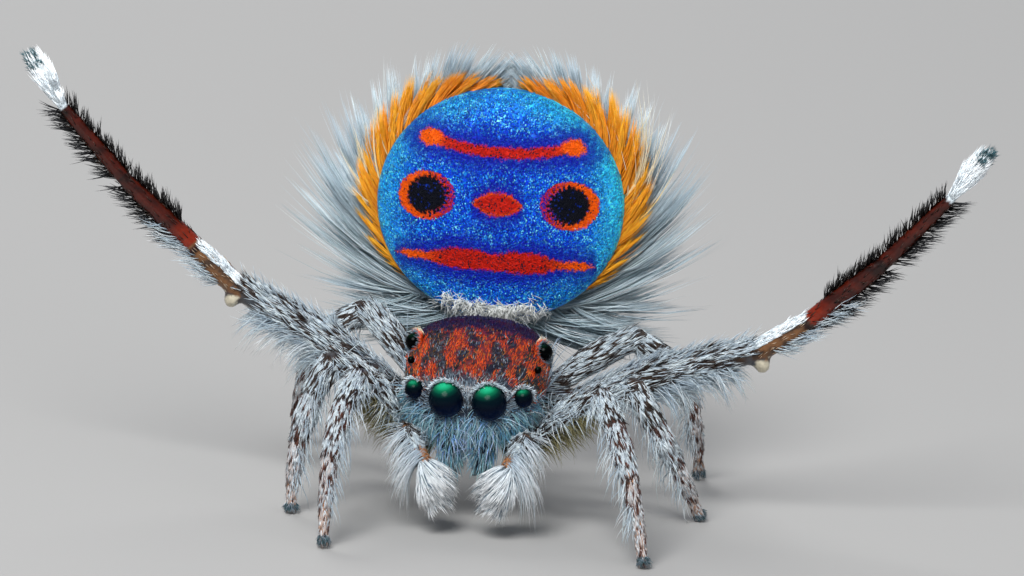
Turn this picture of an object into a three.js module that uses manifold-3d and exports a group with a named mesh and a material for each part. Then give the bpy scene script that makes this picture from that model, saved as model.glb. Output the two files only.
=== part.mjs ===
// A male coastal peacock spider, life size, in its courtship pose: the fan of the abdomen is raised behind
// the head and the third pair of legs is held up. Millimetres, +Z up, the spider faces -Y, so +X is its left.
import * as THREE from "three";
import { mergeVertices } from "three/addons/utils/BufferGeometryUtils.js";
import Module from "manifold-3d";

const wasm = await Module();
wasm.setup();

// Spaces and tolerances
const GAP = 0.04; // between touching nodes
const WELD = 1e-5; // vertices of one piece closer than this are one
const SLIVER = 0.006; // detail of bare nodes smaller than this is left out
const COAT_SLIVER = 0.014; // the same for nodes that wear locks
const SHORT_EDGE = 0.004; // the two corners of a shorter edge become one

// Sides round each kind of shape, and rings from end to end of the larger ones
const DETAIL = { carapace: [20, 14], fan: [26, 14], abdomen: 18, sternum: 12, swelling: 10 };
const LIMB_SIDES = { thin: 6, usual: 8, thigh: 10, jaw: 10, brush: 12, pad: 10 };
const RINGS_PER_SIDE = 0.65;
const LIMB_DOME = 0.7; // how far a segment's end bulges, as part of its radius

// The head and thorax in their own frame, whose middle stands at BODY_HEIGHT, tipped nose down by PITCH
const PITCH = 13;
const BODY_HEIGHT = 1.5;
const CARAPACE = { halfLength: 1.02, belly: 0.42, square: 2.5, frontBlunt: 5, rearBlunt: 2.6 };
const CARAPACE_HALF_WIDTH = [[-1.02, 0.66], [-0.6, 0.73], [0, 0.79], [0.35, 0.78], [0.7, 0.66], [1.02, 0.5]];
const CARAPACE_CROWN = [[-1.02, 0.31], [-0.6, 0.39], [0, 0.47], [0.35, 0.5], [0.7, 0.42], [1.02, 0.24]];
const STERNUM = { at: [0, 0.08, -0.5], half: [0.4, 0.62, 0.16] };

// Eyes: centre in the head's frame for the left side, radius, and the sides of the ball and of its socket
const EYES = {
  eye_front_middle: { at: [0.25, -0.93, 0.105], radius: 0.195, detail: 16, socket: 12 },
  eye_front_side: { at: [0.6, -0.83, 0.15], radius: 0.105, detail: 12, socket: 8 },
  eye_small: { at: [0.7, -0.36, 0.27], radius: 0.04, detail: 8, socket: 6 },
  eye_rear: { at: [0.72, 0.03, 0.3], radius: 0.095, detail: 10, socket: 8 },
};

// Jaws and feelers, left side
const CHELICERA = { top: [0.185, -0.82, -0.1], tip: [0.17, -0.88, -0.72], radii: [0.165, 0.16, 0.1] };
const FANG = { root: [0.15, -0.9, -0.74], tip: [0.05, -0.84, -0.86], radii: [0.045, 0.035, 0.015] };
const PALP = {
  base: [0.42, -0.62, 0.84],
  knee: [0.66, -1.16, 1.08],
  elbow: [0.54, -1.28, 0.92],
  wrist: [0.45, -1.35, 0.8],
  tip: [0.31, -1.42, 0.34],
};
const PALP_SWING = [0, 0.02, 0.04, 0.06, 0.09]; // both feelers hang a little to the left
const PALP_RADII = {
  femur: [0.085, 0.1, 0.1],
  patella: [0.1, 0.105, 0.09],
  tibia: [0.09, 0.09, 0.085],
  tarsus: [0.1, 0.17, 0.13],
};

// Legs: hips in the head's frame for the left side, the other points in the part's frame for each side
const HIPS = {
  leg1: [0.4, -0.45, -0.5],
  leg2: [0.44, -0.05, -0.5],
  leg3: [0.44, 0.34, -0.49],
  leg4: [0.38, 0.71, -0.46],
};
const THIGHS = { leg1: [0.78, -0.6, 0.96], leg2: [0.86, -0.08, 1.0], leg4: [0.76, 0.98, 1.2] };
const STANDING = {
  leg1: {
    left: { knee: [1.45, -0.93, 1.56], bend: [1.9, -2.0, 1.3], foot: [2.12, -2.16, 0] },
    right: { knee: [1.2, -1.0, 1.58], bend: [1.42, -2.15, 1.3], foot: [1.32, -2.42, 0] },
  },
  leg2: {
    left: { knee: [1.74, -0.3, 1.56], bend: [2.2, -0.42, 0.95], foot: [2.52, 0.1, 0] },
    right: { knee: [1.58, -0.42, 1.6], bend: [1.9, -0.9, 1.1], foot: [1.86, -1.02, 0] },
  },
  leg4: {
    left: { knee: [1.6, 1.28, 1.72], bend: [2.3, 1.55, 1.5], foot: [2.34, 2.0, 0] },
    right: { knee: [1.42, 1.3, 1.8], bend: [2.2, 1.6, 1.5], foot: [2.2, 2.05, 0] },
  },
};
const STANDING_SHARES = { patella: 0.25, tibia: 0.31, metatarsus: 0.27 }; // of the way from knee to foot
const STANDING_RADII = {
  coxa: [0.165, 0.165, 0.15],
  femur: [0.14, 0.19, 0.155],
  patella: [0.15, 0.16, 0.14],
  tibia: [0.14, 0.15, 0.115],
  metatarsus: [0.115, 0.115, 0.085],
  tarsus: [0.085, 0.085, 0.075],
};
const FOOT_PAD = { radius: 0.1, topRadius: 0.075, height: 0.09, ankle: 0.072 };
const THIGH_BOW = 0.05;
const BRUSH_FLATTENING = 1.35;

// The raised third legs: segment lengths, their angles above the floor, and the lean of the leg forward
const RAISED_LENGTHS = { femur: 2.12, patella: 0.64, tibia: 1.08, metatarsus: 1.08, tarsus: 0.66 };
const RAISED_ANGLES = { left: [21, 35, 43, 49, 57], right: [30, 41, 41, 47, 58] };
const RAISED_THIGH = { left: [1.05, 0.44, 1.16], right: [0.9, 0.44, 1.1] };
const RAISED_LEAN = 3;
const RAISED_RADII = {
  coxa: [0.18, 0.18, 0.16],
  femur: [0.16, 0.235, 0.165],
  patella: [0.14, 0.15, 0.13],
  tibia: [0.115, 0.12, 0.105],
  metatarsus: [0.1, 0.1, 0.08],
  tarsus: [0.075, 0.12, 0.12],
};
const JOINT_SWELLING = { below: 0.1, radius: 0.13 }; // the pale skin that bulges under the raised knee

// The abdomen stands behind the head, with its upper side, the fan, turned forward
const FAN = { at: [0, 1.5, 3.08], halfWidth: 1.38, halfHeight: 1.29, front: 0.42, back: 0.1, domed: 2.3 };
const FAN_LEAN = 6;
const ABDOMEN = { at: [0, 0.5, -0.1], half: [1.06, 0.62, 1.28] };
const PEDICEL = { front: [0, 0.9, 1.46], rear: [0, 1.62, 1.86], radii: [0.13, 0.12, 0.15] };
const SPINNERETS = { at: [0, 0.74, 1.0], spread: 0.075, radii: [0.075, 0.06, 0.03], length: 0.26, count: 5 };
const SPINNERET_TIPS = { spread: 0.12, back: 0.12 };

// Locks of the coat: length, width and thickness, how far the tip bends as part of the length, and the
// pieces that it is made in from root to tip
const LOCKS = {
  orange: { length: 0.5, width: 0.38, thick: 0.09, bend: 0.3, steps: 2 },
  fringe: { length: 1.18, width: 0.44, thick: 0.1, bend: 0.22, steps: 3 },
  skirt: { length: 1.45, width: 0.46, thick: 0.1, bend: 0.28, steps: 3 },
  crest: { length: 0.76, width: 0.36, thick: 0.09, bend: 0.15, steps: 2 },
  thigh: { length: 0.52, width: 0.32, thick: 0.08, bend: 0.25, steps: 2 },
  bristle: { length: 0.3, width: 0.28, thick: 0.07, bend: 0.1, steps: 2 },
  shin: { length: 0.38, width: 0.24, thick: 0.07, bend: 0.3, steps: 2 },
  feeler: { length: 0.36, width: 0.2, thick: 0.07, bend: 0.35, steps: 2 },
  tuft: { length: 0.16, width: 0.16, thick: 0.06, bend: 0.1, steps: 2 },
};
const LOCK_SINK = 0.06; // how deep its root goes
const LOCK_TAPER = 0.8; // how blunt its tip is
const LOCK_TESTS = { along: 8, across: [-1, -0.5, 0, 0.5, 1] }; // places on a lock that are tested for room
const SHORTER = [1, 0.8, 0.62, 0.48]; // lengths tried where a lock would touch something
const SAMPLE = 0.05; // spacing of the points that stand for a surface
const SEED = 11;
const ROOT_SHARE = 0.8; // where in a limb's radius a lock starts
const JITTER = { place: 0.2, turn: 14, tilt: 6, sweep: 5, depth: 0.04 };

// Rows of locks round the fan, in degrees from straight up, on each side. Their roots lie on an ellipse,
// their lie turns away from straight outward by the sweep, upward where it is positive
const ORANGE_ROW = { from: 26, to: 132, count: 8, ring: [1.3, 1.2], depth: 0.03, sweep: 30, size: "orange" };
const FRINGE_ROW = { from: 62, to: 124, count: 6, ring: [0.97, 1.12], depth: 0.3, sweep: 10, size: "fringe" };
const SKIRT_ROW = { from: 124, to: 166, count: 3, ring: [0.9, 1.12], depth: 0.3, sweep: 32, size: "skirt" };
const CREST_ROW = { from: 2, to: 62, count: 5, ring: [0.97, 1.12], depth: 0.3, sweep: 6, size: "crest" };
const FRINGE_FORWARD = 0.04; // how much the tips of the fringe lie in front of its roots
const FRINGE_UPTURN_FROM = 34; // degrees from straight up beyond which the fringe bends upward

// Rows of locks along the limbs: the stretch they take, their turn round the limb from its upper side,
// and their tilt away from it, both in degrees
const LIMB_ROWS = {
  raised: {
    femur: [
      { piece: 1, from: 0.3, to: 0.96, count: 7, turn: 180, tilt: 62, size: "thigh" },
      { piece: 1, from: 0.25, to: 0.9, count: 4, turn: 0, tilt: 18, size: "shin" },
    ],
    tibia: [
      { piece: 2, from: 0.1, to: 0.9, count: 2, turn: 180, tilt: 45, size: "bristle" },
      { piece: 3, from: 0.1, to: 0.95, count: 5, turn: 180, tilt: 52, size: "bristle" },
      { piece: 3, from: 0.35, to: 0.95, count: 4, turn: 0, tilt: 48, size: "bristle" },
    ],
    foot: [
      { piece: 4, from: 0.06, to: 0.98, count: 6, turn: 180, tilt: 52, size: "bristle" },
      { piece: 4, from: 0.06, to: 0.98, count: 6, turn: 0, tilt: 48, size: "bristle" },
      { piece: 5, from: 0.3, to: 0.7, count: 1, turn: 0, tilt: 20, size: "bristle" },
      { piece: 5, from: 0.85, to: 1, count: 2, turn: 180, tilt: 25, size: "tuft" },
    ],
  },
  standing: {
    femur: [{ piece: 1, from: 0.3, to: 0.9, count: 3, turn: 180, tilt: 65, size: "shin" }],
    tibia: [
      { piece: 2, from: 0.35, to: 0.9, count: 1, turn: 180, tilt: 48, size: "shin" },
      { piece: 3, from: 0, to: 0.75, count: 2, turn: 180, tilt: 48, size: "shin" },
    ],
    foot: [
      { piece: 4, from: 0.35, to: 0.9, count: 1, turn: 180, tilt: 36, size: "shin" },
      { piece: 5, from: 0, to: 0.3, count: 1, turn: 0, tilt: 26, size: "tuft" },
    ],
  },
};
const PALP_ROWS = [
  { piece: 0, from: 0.35, to: 0.85, count: 2, turn: 100, tilt: 55, size: "feeler" },
  { piece: 1, from: 0.1, to: 0.9, count: 2, turn: 90, tilt: 40, size: "feeler" },
];
const BRUSH_ROW = { from: 0.3, to: 0.6, count: 7, tilt: 28, size: "feeler", faceOut: true };
const JAW_ROW = { from: 0.35, to: 0.8, count: 3, turn: 0, tilt: 30, size: "feeler", faceOut: true };

// Colours of the coat and the bare skin
const COLOURS = {
  carapace: [0xb5472a, 0.8],
  greyCoat: [0xb9c2c8, 0.9],
  whiteCoat: [0xe9edf0, 0.9],
  redBrown: [0x6a1f12, 0.4],
  blueFan: [0x1b45c8, 0.35],
  eye: [0x06251f, 0.08],
  skin: [0x6b5a4a, 0.6],
};

const SIDES = { left: 1, right: -1 };
const UP = new THREE.Vector3(0, 0, 1);
const FRONT = new THREE.Vector3(0, -1, 0);
const toHead = new THREE.Matrix4()
  .makeTranslation(0, 0, BODY_HEIGHT)
  .multiply(new THREE.Matrix4().makeRotationX(THREE.MathUtils.degToRad(PITCH)));
const toFan = new THREE.Matrix4()
  .makeTranslation(...FAN.at)
  .multiply(new THREE.Matrix4().makeRotationX(THREE.MathUtils.degToRad(-FAN_LEAN)));

// Points: a list for the left side, mirrored for the right, and carried from the head's or the fan's frame
const point = (list, side = 1) => new THREE.Vector3(list[0] * side, list[1], list[2]);
const inHead = (list, side = 1) => point(list, side).applyMatrix4(toHead);
const inFan = (list, side = 1) => point(list, side).applyMatrix4(toFan);

// A smooth curve through a short list of [place, value] pairs
function along(pairs) {
  const slope = (i) => {
    const [a, b] = [pairs[Math.max(i - 1, 0)], pairs[Math.min(i + 1, pairs.length - 1)]];
    return (b[1] - a[1]) / (b[0] - a[0]);
  };
  return (place) => {
    const p = THREE.MathUtils.clamp(place, pairs[0][0], pairs.at(-1)[0]);
    const i = Math.max(0, pairs.findIndex((pair) => pair[0] >= p) - 1);
    const [[x0, y0], [x1, y1]] = [pairs[i], pairs[i + 1]];
    const t = (p - x0) / (x1 - x0);
    const [t2, t3] = [t * t, t * t * t];
    return (
      (2 * t3 - 3 * t2 + 1) * y0 +
      (t3 - 2 * t2 + t) * (x1 - x0) * slope(i) +
      (3 * t2 - 2 * t3) * y1 +
      (t3 - t2) * (x1 - x0) * slope(i + 1)
    );
  };
}
const carapaceHalfWidth = along(CARAPACE_HALF_WIDTH);
const carapaceCrown = along(CARAPACE_CROWN);

// Moves each vertex of a geometry by a function that changes it in place
function warp(geometry, change) {
  const places = geometry.getAttribute("position");
  const v = new THREE.Vector3();
  for (let i = 0; i < places.count; i += 1) {
    v.fromBufferAttribute(places, i);
    change(v);
    places.setXYZ(i, v.x, v.y, v.z);
  }
  return geometry;
}

// A closed geometry as a solid for joining and cutting
function solid(geometry) {
  const bare = new THREE.BufferGeometry().setAttribute("position", geometry.getAttribute("position"));
  bare.setIndex(geometry.index);
  const merged = mergeVertices(bare, WELD);
  const corners = merged.index.array;
  const kept = [];
  for (let i = 0; i < corners.length; i += 3) {
    const [a, b, c] = [corners[i], corners[i + 1], corners[i + 2]];
    if (a !== b && b !== c && c !== a) kept.push(a, b, c);
  }
  return new wasm.Manifold(
    new wasm.Mesh({
      numProp: 3,
      vertProperties: merged.getAttribute("position").array,
      triVerts: new Uint32Array(kept),
    }),
  );
}

// Lists for each corner of a mesh the corners that an edge joins it to
function neighbours(faces) {
  const around = new Map();
  for (const face of faces) {
    for (let i = 0; i < 3; i += 1) {
      if (!around.has(face[i])) around.set(face[i], new Set());
      around.get(face[i]).add(face[(i + 1) % 3]).add(face[(i + 2) % 3]);
    }
  }
  return around;
}

// An edge shorter than the limit whose corners can become one and leave the surface closed
function shortEdge(places, faces) {
  const around = neighbours(faces);
  for (const [a, others] of around) {
    for (const b of others) {
      const shared = [...others].filter((c) => around.get(b).has(c)).length;
      if (b > a && shared === 2 && places[a].distanceTo(places[b]) < SHORT_EDGE) return [a, b];
    }
  }
  return null;
}

// A solid without its short edges
function tidy(whole) {
  const { vertProperties, triVerts } = whole.getMesh();
  const places = Array.from({ length: vertProperties.length / 3 }, (_, i) =>
    new THREE.Vector3().fromArray(vertProperties, 3 * i),
  );
  let faces = Array.from({ length: triVerts.length / 3 }, (_, i) => [...triVerts.slice(3 * i, 3 * i + 3)]);
  for (let edge = shortEdge(places, faces); edge; edge = shortEdge(places, faces)) {
    const [kept, dropped] = edge;
    faces = faces.filter((face) => !(face.includes(kept) && face.includes(dropped)));
    faces = faces.map((face) => face.map((corner) => (corner === dropped ? kept : corner)));
  }
  return new wasm.Manifold(
    new wasm.Mesh({ numProp: 3, vertProperties, triVerts: new Uint32Array(faces.flat()) }),
  );
}

const join = (pieces) => pieces.reduce((whole, piece) => whole.add(piece));
const cut = (whole, tools) => tools.reduce((left, tool) => left.subtract(tool), whole);
const largest = (whole) => whole.decompose().reduce((a, b) => (a.volume() > b.volume() ? a : b));

// Takes a frame with +Y along a limb and +Z on its upper side to where the limb lies
function limbFrame(start, end) {
  const forward = end.clone().sub(start).normalize();
  const across = new THREE.Vector3().crossVectors(forward, UP).normalize();
  const up = new THREE.Vector3().crossVectors(across, forward);
  return new THREE.Matrix4().makeBasis(across, forward, up).setPosition(start);
}

// One segment of a limb: a round barrel with domed ends, its radii given at the start, middle and end
function segment(start, end, radii, { sides = LIMB_SIDES.usual, bow = 0, flat = 1 } = {}) {
  const [first, middle, last] = radii;
  const length = start.distanceTo(end);
  const profile = [
    [0, -LIMB_DOME * first],
    [0.8 * first, -0.5 * LIMB_DOME * first],
    [first, 0.05 * length],
    [middle, 0.45 * length],
    [last, 0.95 * length],
    [0.8 * last, length + 0.5 * LIMB_DOME * last],
    [0, length + LIMB_DOME * last],
  ].map(([radius, place]) => new THREE.Vector2(radius, place));
  const barrel = warp(new THREE.LatheGeometry(profile, sides), (v) => {
    const t = THREE.MathUtils.clamp(v.y / length, 0, 1);
    v.x *= flat;
    v.z += 4 * bow * t * (1 - t);
  });
  return solid(barrel.applyMatrix4(limbFrame(start, end)));
}

// Numbers that look random and are the same in every build
let draws = SEED;
function spread(amount) {
  draws += 1;
  return amount * (2 * THREE.MathUtils.seededRandom(draws) - 1);
}

// The shape of a lock: a flat blade with its root sunk in, tapering and bending toward a direction.
// It gives the place of a point on it: t runs from root to tip, the others from -1 to 1 across and through.
function lockShape({ root, lie, toward, face }, size, share) {
  const length = size.length * share;
  const side = new THREE.Vector3().crossVectors(lie, face).normalize();
  const normal = new THREE.Vector3().crossVectors(side, lie);
  const pull = toward.clone().addScaledVector(lie, -toward.dot(lie));
  return (t, across, through) => {
    const taper = 0.5 * (1 - t * t) ** LOCK_TAPER;
    return root
      .clone()
      .addScaledVector(lie, t * (length + LOCK_SINK) - LOCK_SINK)
      .addScaledVector(pull, size.bend * length * t * t)
      .addScaledVector(side, across * size.width * taper)
      .addScaledVector(normal, through * size.thick * taper);
  };
}

function lockSolid(shape, steps) {
  const blade = warp(new THREE.ConeGeometry(1, 1, 4, steps), (v) => {
    const t = v.y + 0.5;
    const ring = Math.max(1 - t, WELD);
    v.copy(shape(t, v.x / ring, v.z / ring));
  });
  return solid(blade);
}

// Points all over a lock, for testing how near it comes to other things
function lockPoints(shape) {
  const places = [];
  for (let i = 0; i <= LOCK_TESTS.along; i += 1) {
    for (const across of LOCK_TESTS.across) places.push(shape(i / LOCK_TESTS.along, across, 0));
  }
  return places;
}

// A ball stretched to three half sizes, grown by a margin
function ball(half, margin, detail) {
  const geometry = new THREE.SphereGeometry(1, detail, Math.round(detail * RINGS_PER_SIDE));
  return geometry.scale(half[0] + margin, half[1] + margin, half[2] + margin);
}

// Keeps the part of a solid on the side of a plane that the normal points to, half a gap away from it
const trim = (whole, at, normal) => whole.trimByPlane(normal.toArray(), normal.dot(at) + GAP / 2);

// Cuts a limb in two at a joint, across the way that the limb runs there
function partAt(before, after, joint, direction) {
  return [trim(before, joint, direction.clone().negate()), trim(after, joint, direction)];
}

function carapaceShape(margin) {
  const shape = warp(new THREE.SphereGeometry(1, ...DETAIL.carapace), (v) => {
    const ring = Math.hypot(v.x, v.z);
    if (ring > WELD) {
      const y = v.y * CARAPACE.halfLength;
      const [dx, dz] = [v.x / ring, v.z / ring];
      const power = v.y < 0 ? CARAPACE.frontBlunt : CARAPACE.rearBlunt;
      const close = Math.max(0, 1 - Math.abs(v.y) ** power) ** (1 / power);
      const n = CARAPACE.square;
      const reach = (Math.abs(dx) ** n + Math.abs(dz) ** n) ** (-1 / n);
      const height = dz > 0 ? carapaceCrown(y) : CARAPACE.belly;
      v.x = dx * reach * (carapaceHalfWidth(y) * close + margin);
      v.z = dz * reach * (height * close + margin);
    }
    v.y *= CARAPACE.halfLength + margin;
  });
  return solid(shape.applyMatrix4(toHead));
}

function eyeBall(eye, side, margin, detail) {
  const shape = ball(Array(3).fill(eye.radius), margin, detail);
  return solid(shape.applyMatrix4(new THREE.Matrix4().setPosition(inHead(eye.at, side))));
}

function sternumShape(margin) {
  const shape = ball(STERNUM.half, margin, DETAIL.sternum).translate(...STERNUM.at);
  return solid(shape.applyMatrix4(toHead));
}

// The body that legs, jaws and feelers meet, grown by the gap
const carapaceClear = carapaceShape(GAP);
const bodyClear = carapaceClear.add(sternumShape(GAP));

function head() {
  const sockets = Object.values(EYES).flatMap((eye) =>
    Object.values(SIDES).map((side) => eyeBall(eye, side, GAP / 2, eye.socket)),
  );
  return { carapace: cut(carapaceShape(0), sockets), sternum: sternumShape(0).subtract(carapaceClear) };
}

function chelicera(side) {
  const [root, tip] = [inHead(FANG.root, side), inHead(FANG.tip, side)];
  const fang = segment(root, tip, FANG.radii, { sides: LIMB_SIDES.thin });
  return jawShape(side, 0).add(fang).subtract(bodyClear);
}

function jawShape(side, margin) {
  const grown = CHELICERA.radii.map((radius) => radius + margin);
  return segment(inHead(CHELICERA.top, side), inHead(CHELICERA.tip, side), grown, { sides: LIMB_SIDES.jaw });
}

// The joints of a feeler, from its base to its tip
function palpJoints(side) {
  return Object.values(PALP).map((at, i) => point(at, side).add(new THREE.Vector3(PALP_SWING[i], 0, 0)));
}

// A feeler: its arm, and the brush of its last segment
function pedipalp(side) {
  const [base, knee, elbow, wrist, tip] = palpJoints(side);
  const arm = join([
    segment(base, knee, PALP_RADII.femur, { sides: LIMB_SIDES.thin }),
    segment(knee, elbow, PALP_RADII.patella, { sides: LIMB_SIDES.thin }),
    segment(elbow, wrist, PALP_RADII.tibia, { sides: LIMB_SIDES.thin }),
  ]);
  const brush = segment(wrist, tip, PALP_RADII.tarsus, { sides: LIMB_SIDES.brush, flat: BRUSH_FLATTENING });
  const direction = tip.clone().sub(elbow).normalize();
  const [upper, lower] = partAt(arm, brush, wrist, direction);
  return { arm: cut(upper, [bodyClear, jawShape(side, GAP)]), brush: lower };
}

// The joints of a standing leg: the lower leg follows a curve from the knee out over the bend to the foot
function standingJoints(name, sideName) {
  const side = SIDES[sideName];
  const { knee, bend, foot } = STANDING[name][sideName];
  const sole = point(foot, side).setZ(FOOT_PAD.ankle);
  const lower = new THREE.QuadraticBezierCurve3(point(knee, side), point(bend, side), sole);
  const { patella, tibia, metatarsus } = STANDING_SHARES;
  return [
    inHead(HIPS[name], side),
    point(THIGHS[name], side),
    point(knee, side),
    lower.getPointAt(patella),
    lower.getPointAt(patella + tibia),
    lower.getPointAt(patella + tibia + metatarsus),
    sole,
  ];
}

// The joints of a raised leg: each segment rises at its own angle, and all lean forward alike
function raisedJoints(sideName) {
  const side = SIDES[sideName];
  const lean = THREE.MathUtils.degToRad(RAISED_LEAN);
  const joints = [inHead(HIPS.leg3, side), point(RAISED_THIGH[sideName], side)];
  Object.values(RAISED_LENGTHS).forEach((length, i) => {
    const rise = THREE.MathUtils.degToRad(RAISED_ANGLES[sideName][i]);
    const step = new THREE.Vector3(side * Math.cos(rise) * Math.cos(lean), -Math.sin(lean), Math.sin(rise));
    joints.push(joints.at(-1).clone().addScaledVector(step, length));
  });
  return joints;
}

// A leg in three nodes, from its hip to its claws, parted at the knee and above the foot
function leg(joints, radii, extras) {
  const [hip, thigh, knee, shin, ankle, heel, tip] = joints;
  const upper = join([
    segment(hip, thigh, radii.coxa, { sides: LIMB_SIDES.thin }),
    segment(thigh, knee, radii.femur, { sides: LIMB_SIDES.thigh, bow: THIGH_BOW }),
  ]).subtract(bodyClear);
  const middle = join([
    segment(knee, shin, radii.patella),
    segment(shin, ankle, radii.tibia),
    ...extras.middle,
  ]);
  const lower = join([
    segment(ankle, heel, radii.metatarsus, { sides: LIMB_SIDES.thin }),
    segment(heel, tip, radii.tarsus, { sides: LIMB_SIDES.thin }),
    ...extras.lower,
  ]);
  const across = (a, b, c) => c.clone().sub(b).normalize().add(b.clone().sub(a).normalize()).normalize();
  const [femur, middleTop] = partAt(upper, middle, knee, across(thigh, knee, shin));
  const [tibia, foot] = partAt(middleTop, lower, ankle, across(shin, ankle, heel));
  return { femur, tibia, foot };
}

function standingLeg(joints) {
  const { topRadius, radius, height } = FOOT_PAD;
  const pad = new THREE.CylinderGeometry(topRadius, radius, height, LIMB_SIDES.pad);
  pad.rotateX(Math.PI / 2).translate(joints[6].x, joints[6].y, height / 2);
  const pieces = leg(joints, STANDING_RADII, { middle: [], lower: [solid(pad)] });
  pieces.foot = pieces.foot.trimByPlane(UP.toArray(), 0);
  return pieces;
}

function raisedLeg(joints) {
  const [, , knee] = joints;
  const swelling = ball(Array(3).fill(JOINT_SWELLING.radius), 0, DETAIL.swelling);
  swelling.translate(knee.x, knee.y, knee.z - JOINT_SWELLING.below);
  return leg(joints, RAISED_RADII, { middle: [solid(swelling)], lower: [] });
}

// The fan: a shield, domed forward and nearly flat behind
function fanShape(margin) {
  const shape = warp(new THREE.SphereGeometry(1, ...DETAIL.fan), (v) => {
    const flat = Math.min(1, Math.hypot(v.x, v.z));
    const depth = (1 - flat ** FAN.domed) ** (1 / FAN.domed);
    v.x *= FAN.halfWidth + margin;
    v.z *= FAN.halfHeight + margin;
    v.y = v.y < 0 ? -depth * (FAN.front + margin) : depth * (FAN.back + margin);
  });
  return solid(shape.applyMatrix4(toFan));
}

function abdomenShape(margin) {
  return solid(ball(ABDOMEN.half, margin, DETAIL.abdomen).translate(...ABDOMEN.at).applyMatrix4(toFan));
}
const abdomenClear = abdomenShape(GAP);

function pedicel() {
  const stalk = segment(point(PEDICEL.front), point(PEDICEL.rear), PEDICEL.radii);
  return cut(stalk, [bodyClear, abdomenClear, fanShape(GAP)]);
}

// A ring of short nozzles at the far end of the abdomen
function spinnerets() {
  const nozzles = [];
  for (let i = 0; i < SPINNERETS.count; i += 1) {
    const turn = (2 * Math.PI * i) / SPINNERETS.count;
    const off = new THREE.Vector3(Math.cos(turn), Math.sin(turn), 0);
    const root = inFan(SPINNERETS.at).addScaledVector(off, SPINNERETS.spread);
    const tip = inFan(SPINNERETS.at).addScaledVector(off, SPINNERET_TIPS.spread);
    tip.add(new THREE.Vector3(0, SPINNERET_TIPS.back, SPINNERETS.length));
    nozzles.push(segment(root, tip, SPINNERETS.radii, { sides: LIMB_SIDES.thin }));
  }
  return join(nozzles).subtract(abdomenClear);
}

function material([colour, roughness]) {
  return new THREE.MeshStandardMaterial({ color: colour, roughness, metalness: 0 });
}

// Every node: its flesh, its colour, and the locks it wears
const nodes = {};
const taken = []; // points on the surfaces of all nodes and on the locks already placed

function addNode(name, whole, colour) {
  nodes[name] = { flesh: largest(whole), colour, locks: [] };
}

// Spreads points over the flesh of a node
function samplePoints(name) {
  const { vertProperties, triVerts } = nodes[name].flesh.getMesh();
  const corner = (i) => new THREE.Vector3().fromArray(vertProperties, 3 * triVerts[i]);
  for (let i = 0; i < triVerts.length; i += 3) {
    const [a, b, c] = [corner(i), corner(i + 1), corner(i + 2)];
    const steps = Math.ceil(Math.max(a.distanceTo(b), b.distanceTo(c), c.distanceTo(a)) / SAMPLE);
    for (let j = 0; j <= steps; j += 1) {
      for (let k = 0; k <= steps - j; k += 1) {
        const at = a.clone().multiplyScalar(1 - (j + k) / steps);
        at.addScaledVector(b, j / steps).addScaledVector(c, k / steps);
        taken.push({ name, at });
      }
    }
  }
}

// Adds a lock to a node, shortened or left out where it would come too near another node or the floor
function wear(name, hold, sizeName) {
  const size = LOCKS[sizeName];
  const clear = (GAP + size.thick) / 2;
  const reach = 2 * size.length;
  const near = taken.filter((other) => other.name !== name && other.at.distanceTo(hold.root) < reach);
  for (const share of SHORTER) {
    const shape = lockShape(hold, size, share);
    const places = lockPoints(shape);
    const free = places.every((at) => at.z > clear && near.every((other) => other.at.distanceTo(at) > clear));
    if (free) {
      nodes[name].locks.push(lockSolid(shape, size.steps));
      for (const at of places) taken.push({ name, at });
      return;
    }
  }
}

// Locks in rows along a limb segment
function wearRow(name, joints, radii, row) {
  const [start, end] = [joints[row.piece], joints[row.piece + 1]];
  const frame = limbFrame(start, end);
  const [across, forward, up] = [0, 1, 2].map((i) => new THREE.Vector3().setFromMatrixColumn(frame, i));
  for (let i = 0; i < row.count; i += 1) {
    const t = row.from + ((row.to - row.from) * (i + 0.5 + spread(JITTER.place))) / row.count;
    const turn = THREE.MathUtils.degToRad(row.turn + spread(JITTER.turn));
    const tilt = THREE.MathUtils.degToRad(row.tilt + spread(JITTER.tilt));
    const out = up.clone().multiplyScalar(Math.cos(turn)).addScaledVector(across, Math.sin(turn));
    const lie = out.clone().multiplyScalar(Math.sin(tilt)).addScaledVector(forward, Math.cos(tilt));
    const [first, middle, last] = radii;
    const radius = middle + (t < 0.5 ? (first - middle) * (1 - 2 * t) : (last - middle) * (2 * t - 1));
    const root = start.clone().lerp(end, t).addScaledVector(out, ROOT_SHARE * radius);
    wear(name, { root, lie, toward: forward, face: row.faceOut ? out : across }, row.size);
  }
}

// Locks in a fan round the raised abdomen, on one side
function wearFringe(name, side, row) {
  for (let i = 0; i < row.count; i += 1) {
    const place = row.from + ((row.to - row.from) * (i + 0.5 + spread(JITTER.place))) / row.count;
    const angle = THREE.MathUtils.degToRad(place);
    const turned = THREE.MathUtils.degToRad(place - row.sweep + spread(JITTER.sweep));
    const [x, z] = [Math.sin(angle) * row.ring[0], Math.cos(angle) * row.ring[1]];
    const root = inFan([x, row.depth, z], side);
    const depth = row.depth - FRINGE_FORWARD + spread(JITTER.depth);
    const tip = inFan([x + Math.sin(turned), depth, z + Math.cos(turned)], side);
    const toward = place > FRINGE_UPTURN_FROM ? UP : new THREE.Vector3(side, 0, 0);
    wear(name, { root, lie: tip.sub(root).normalize(), toward, face: FRONT }, row.size);
  }
}

// The brush of a feeler: locks all round it, hanging toward its tip
function wearBrush(name, start, end, radii, row) {
  for (let i = 0; i < row.count; i += 1) {
    const turn = (360 * i) / row.count;
    const t = row.from + (row.to - row.from) * (i % 2);
    wearRow(name, [start, end], radii, { ...row, piece: 0, from: t, to: t, count: 1, turn });
  }
}

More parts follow.
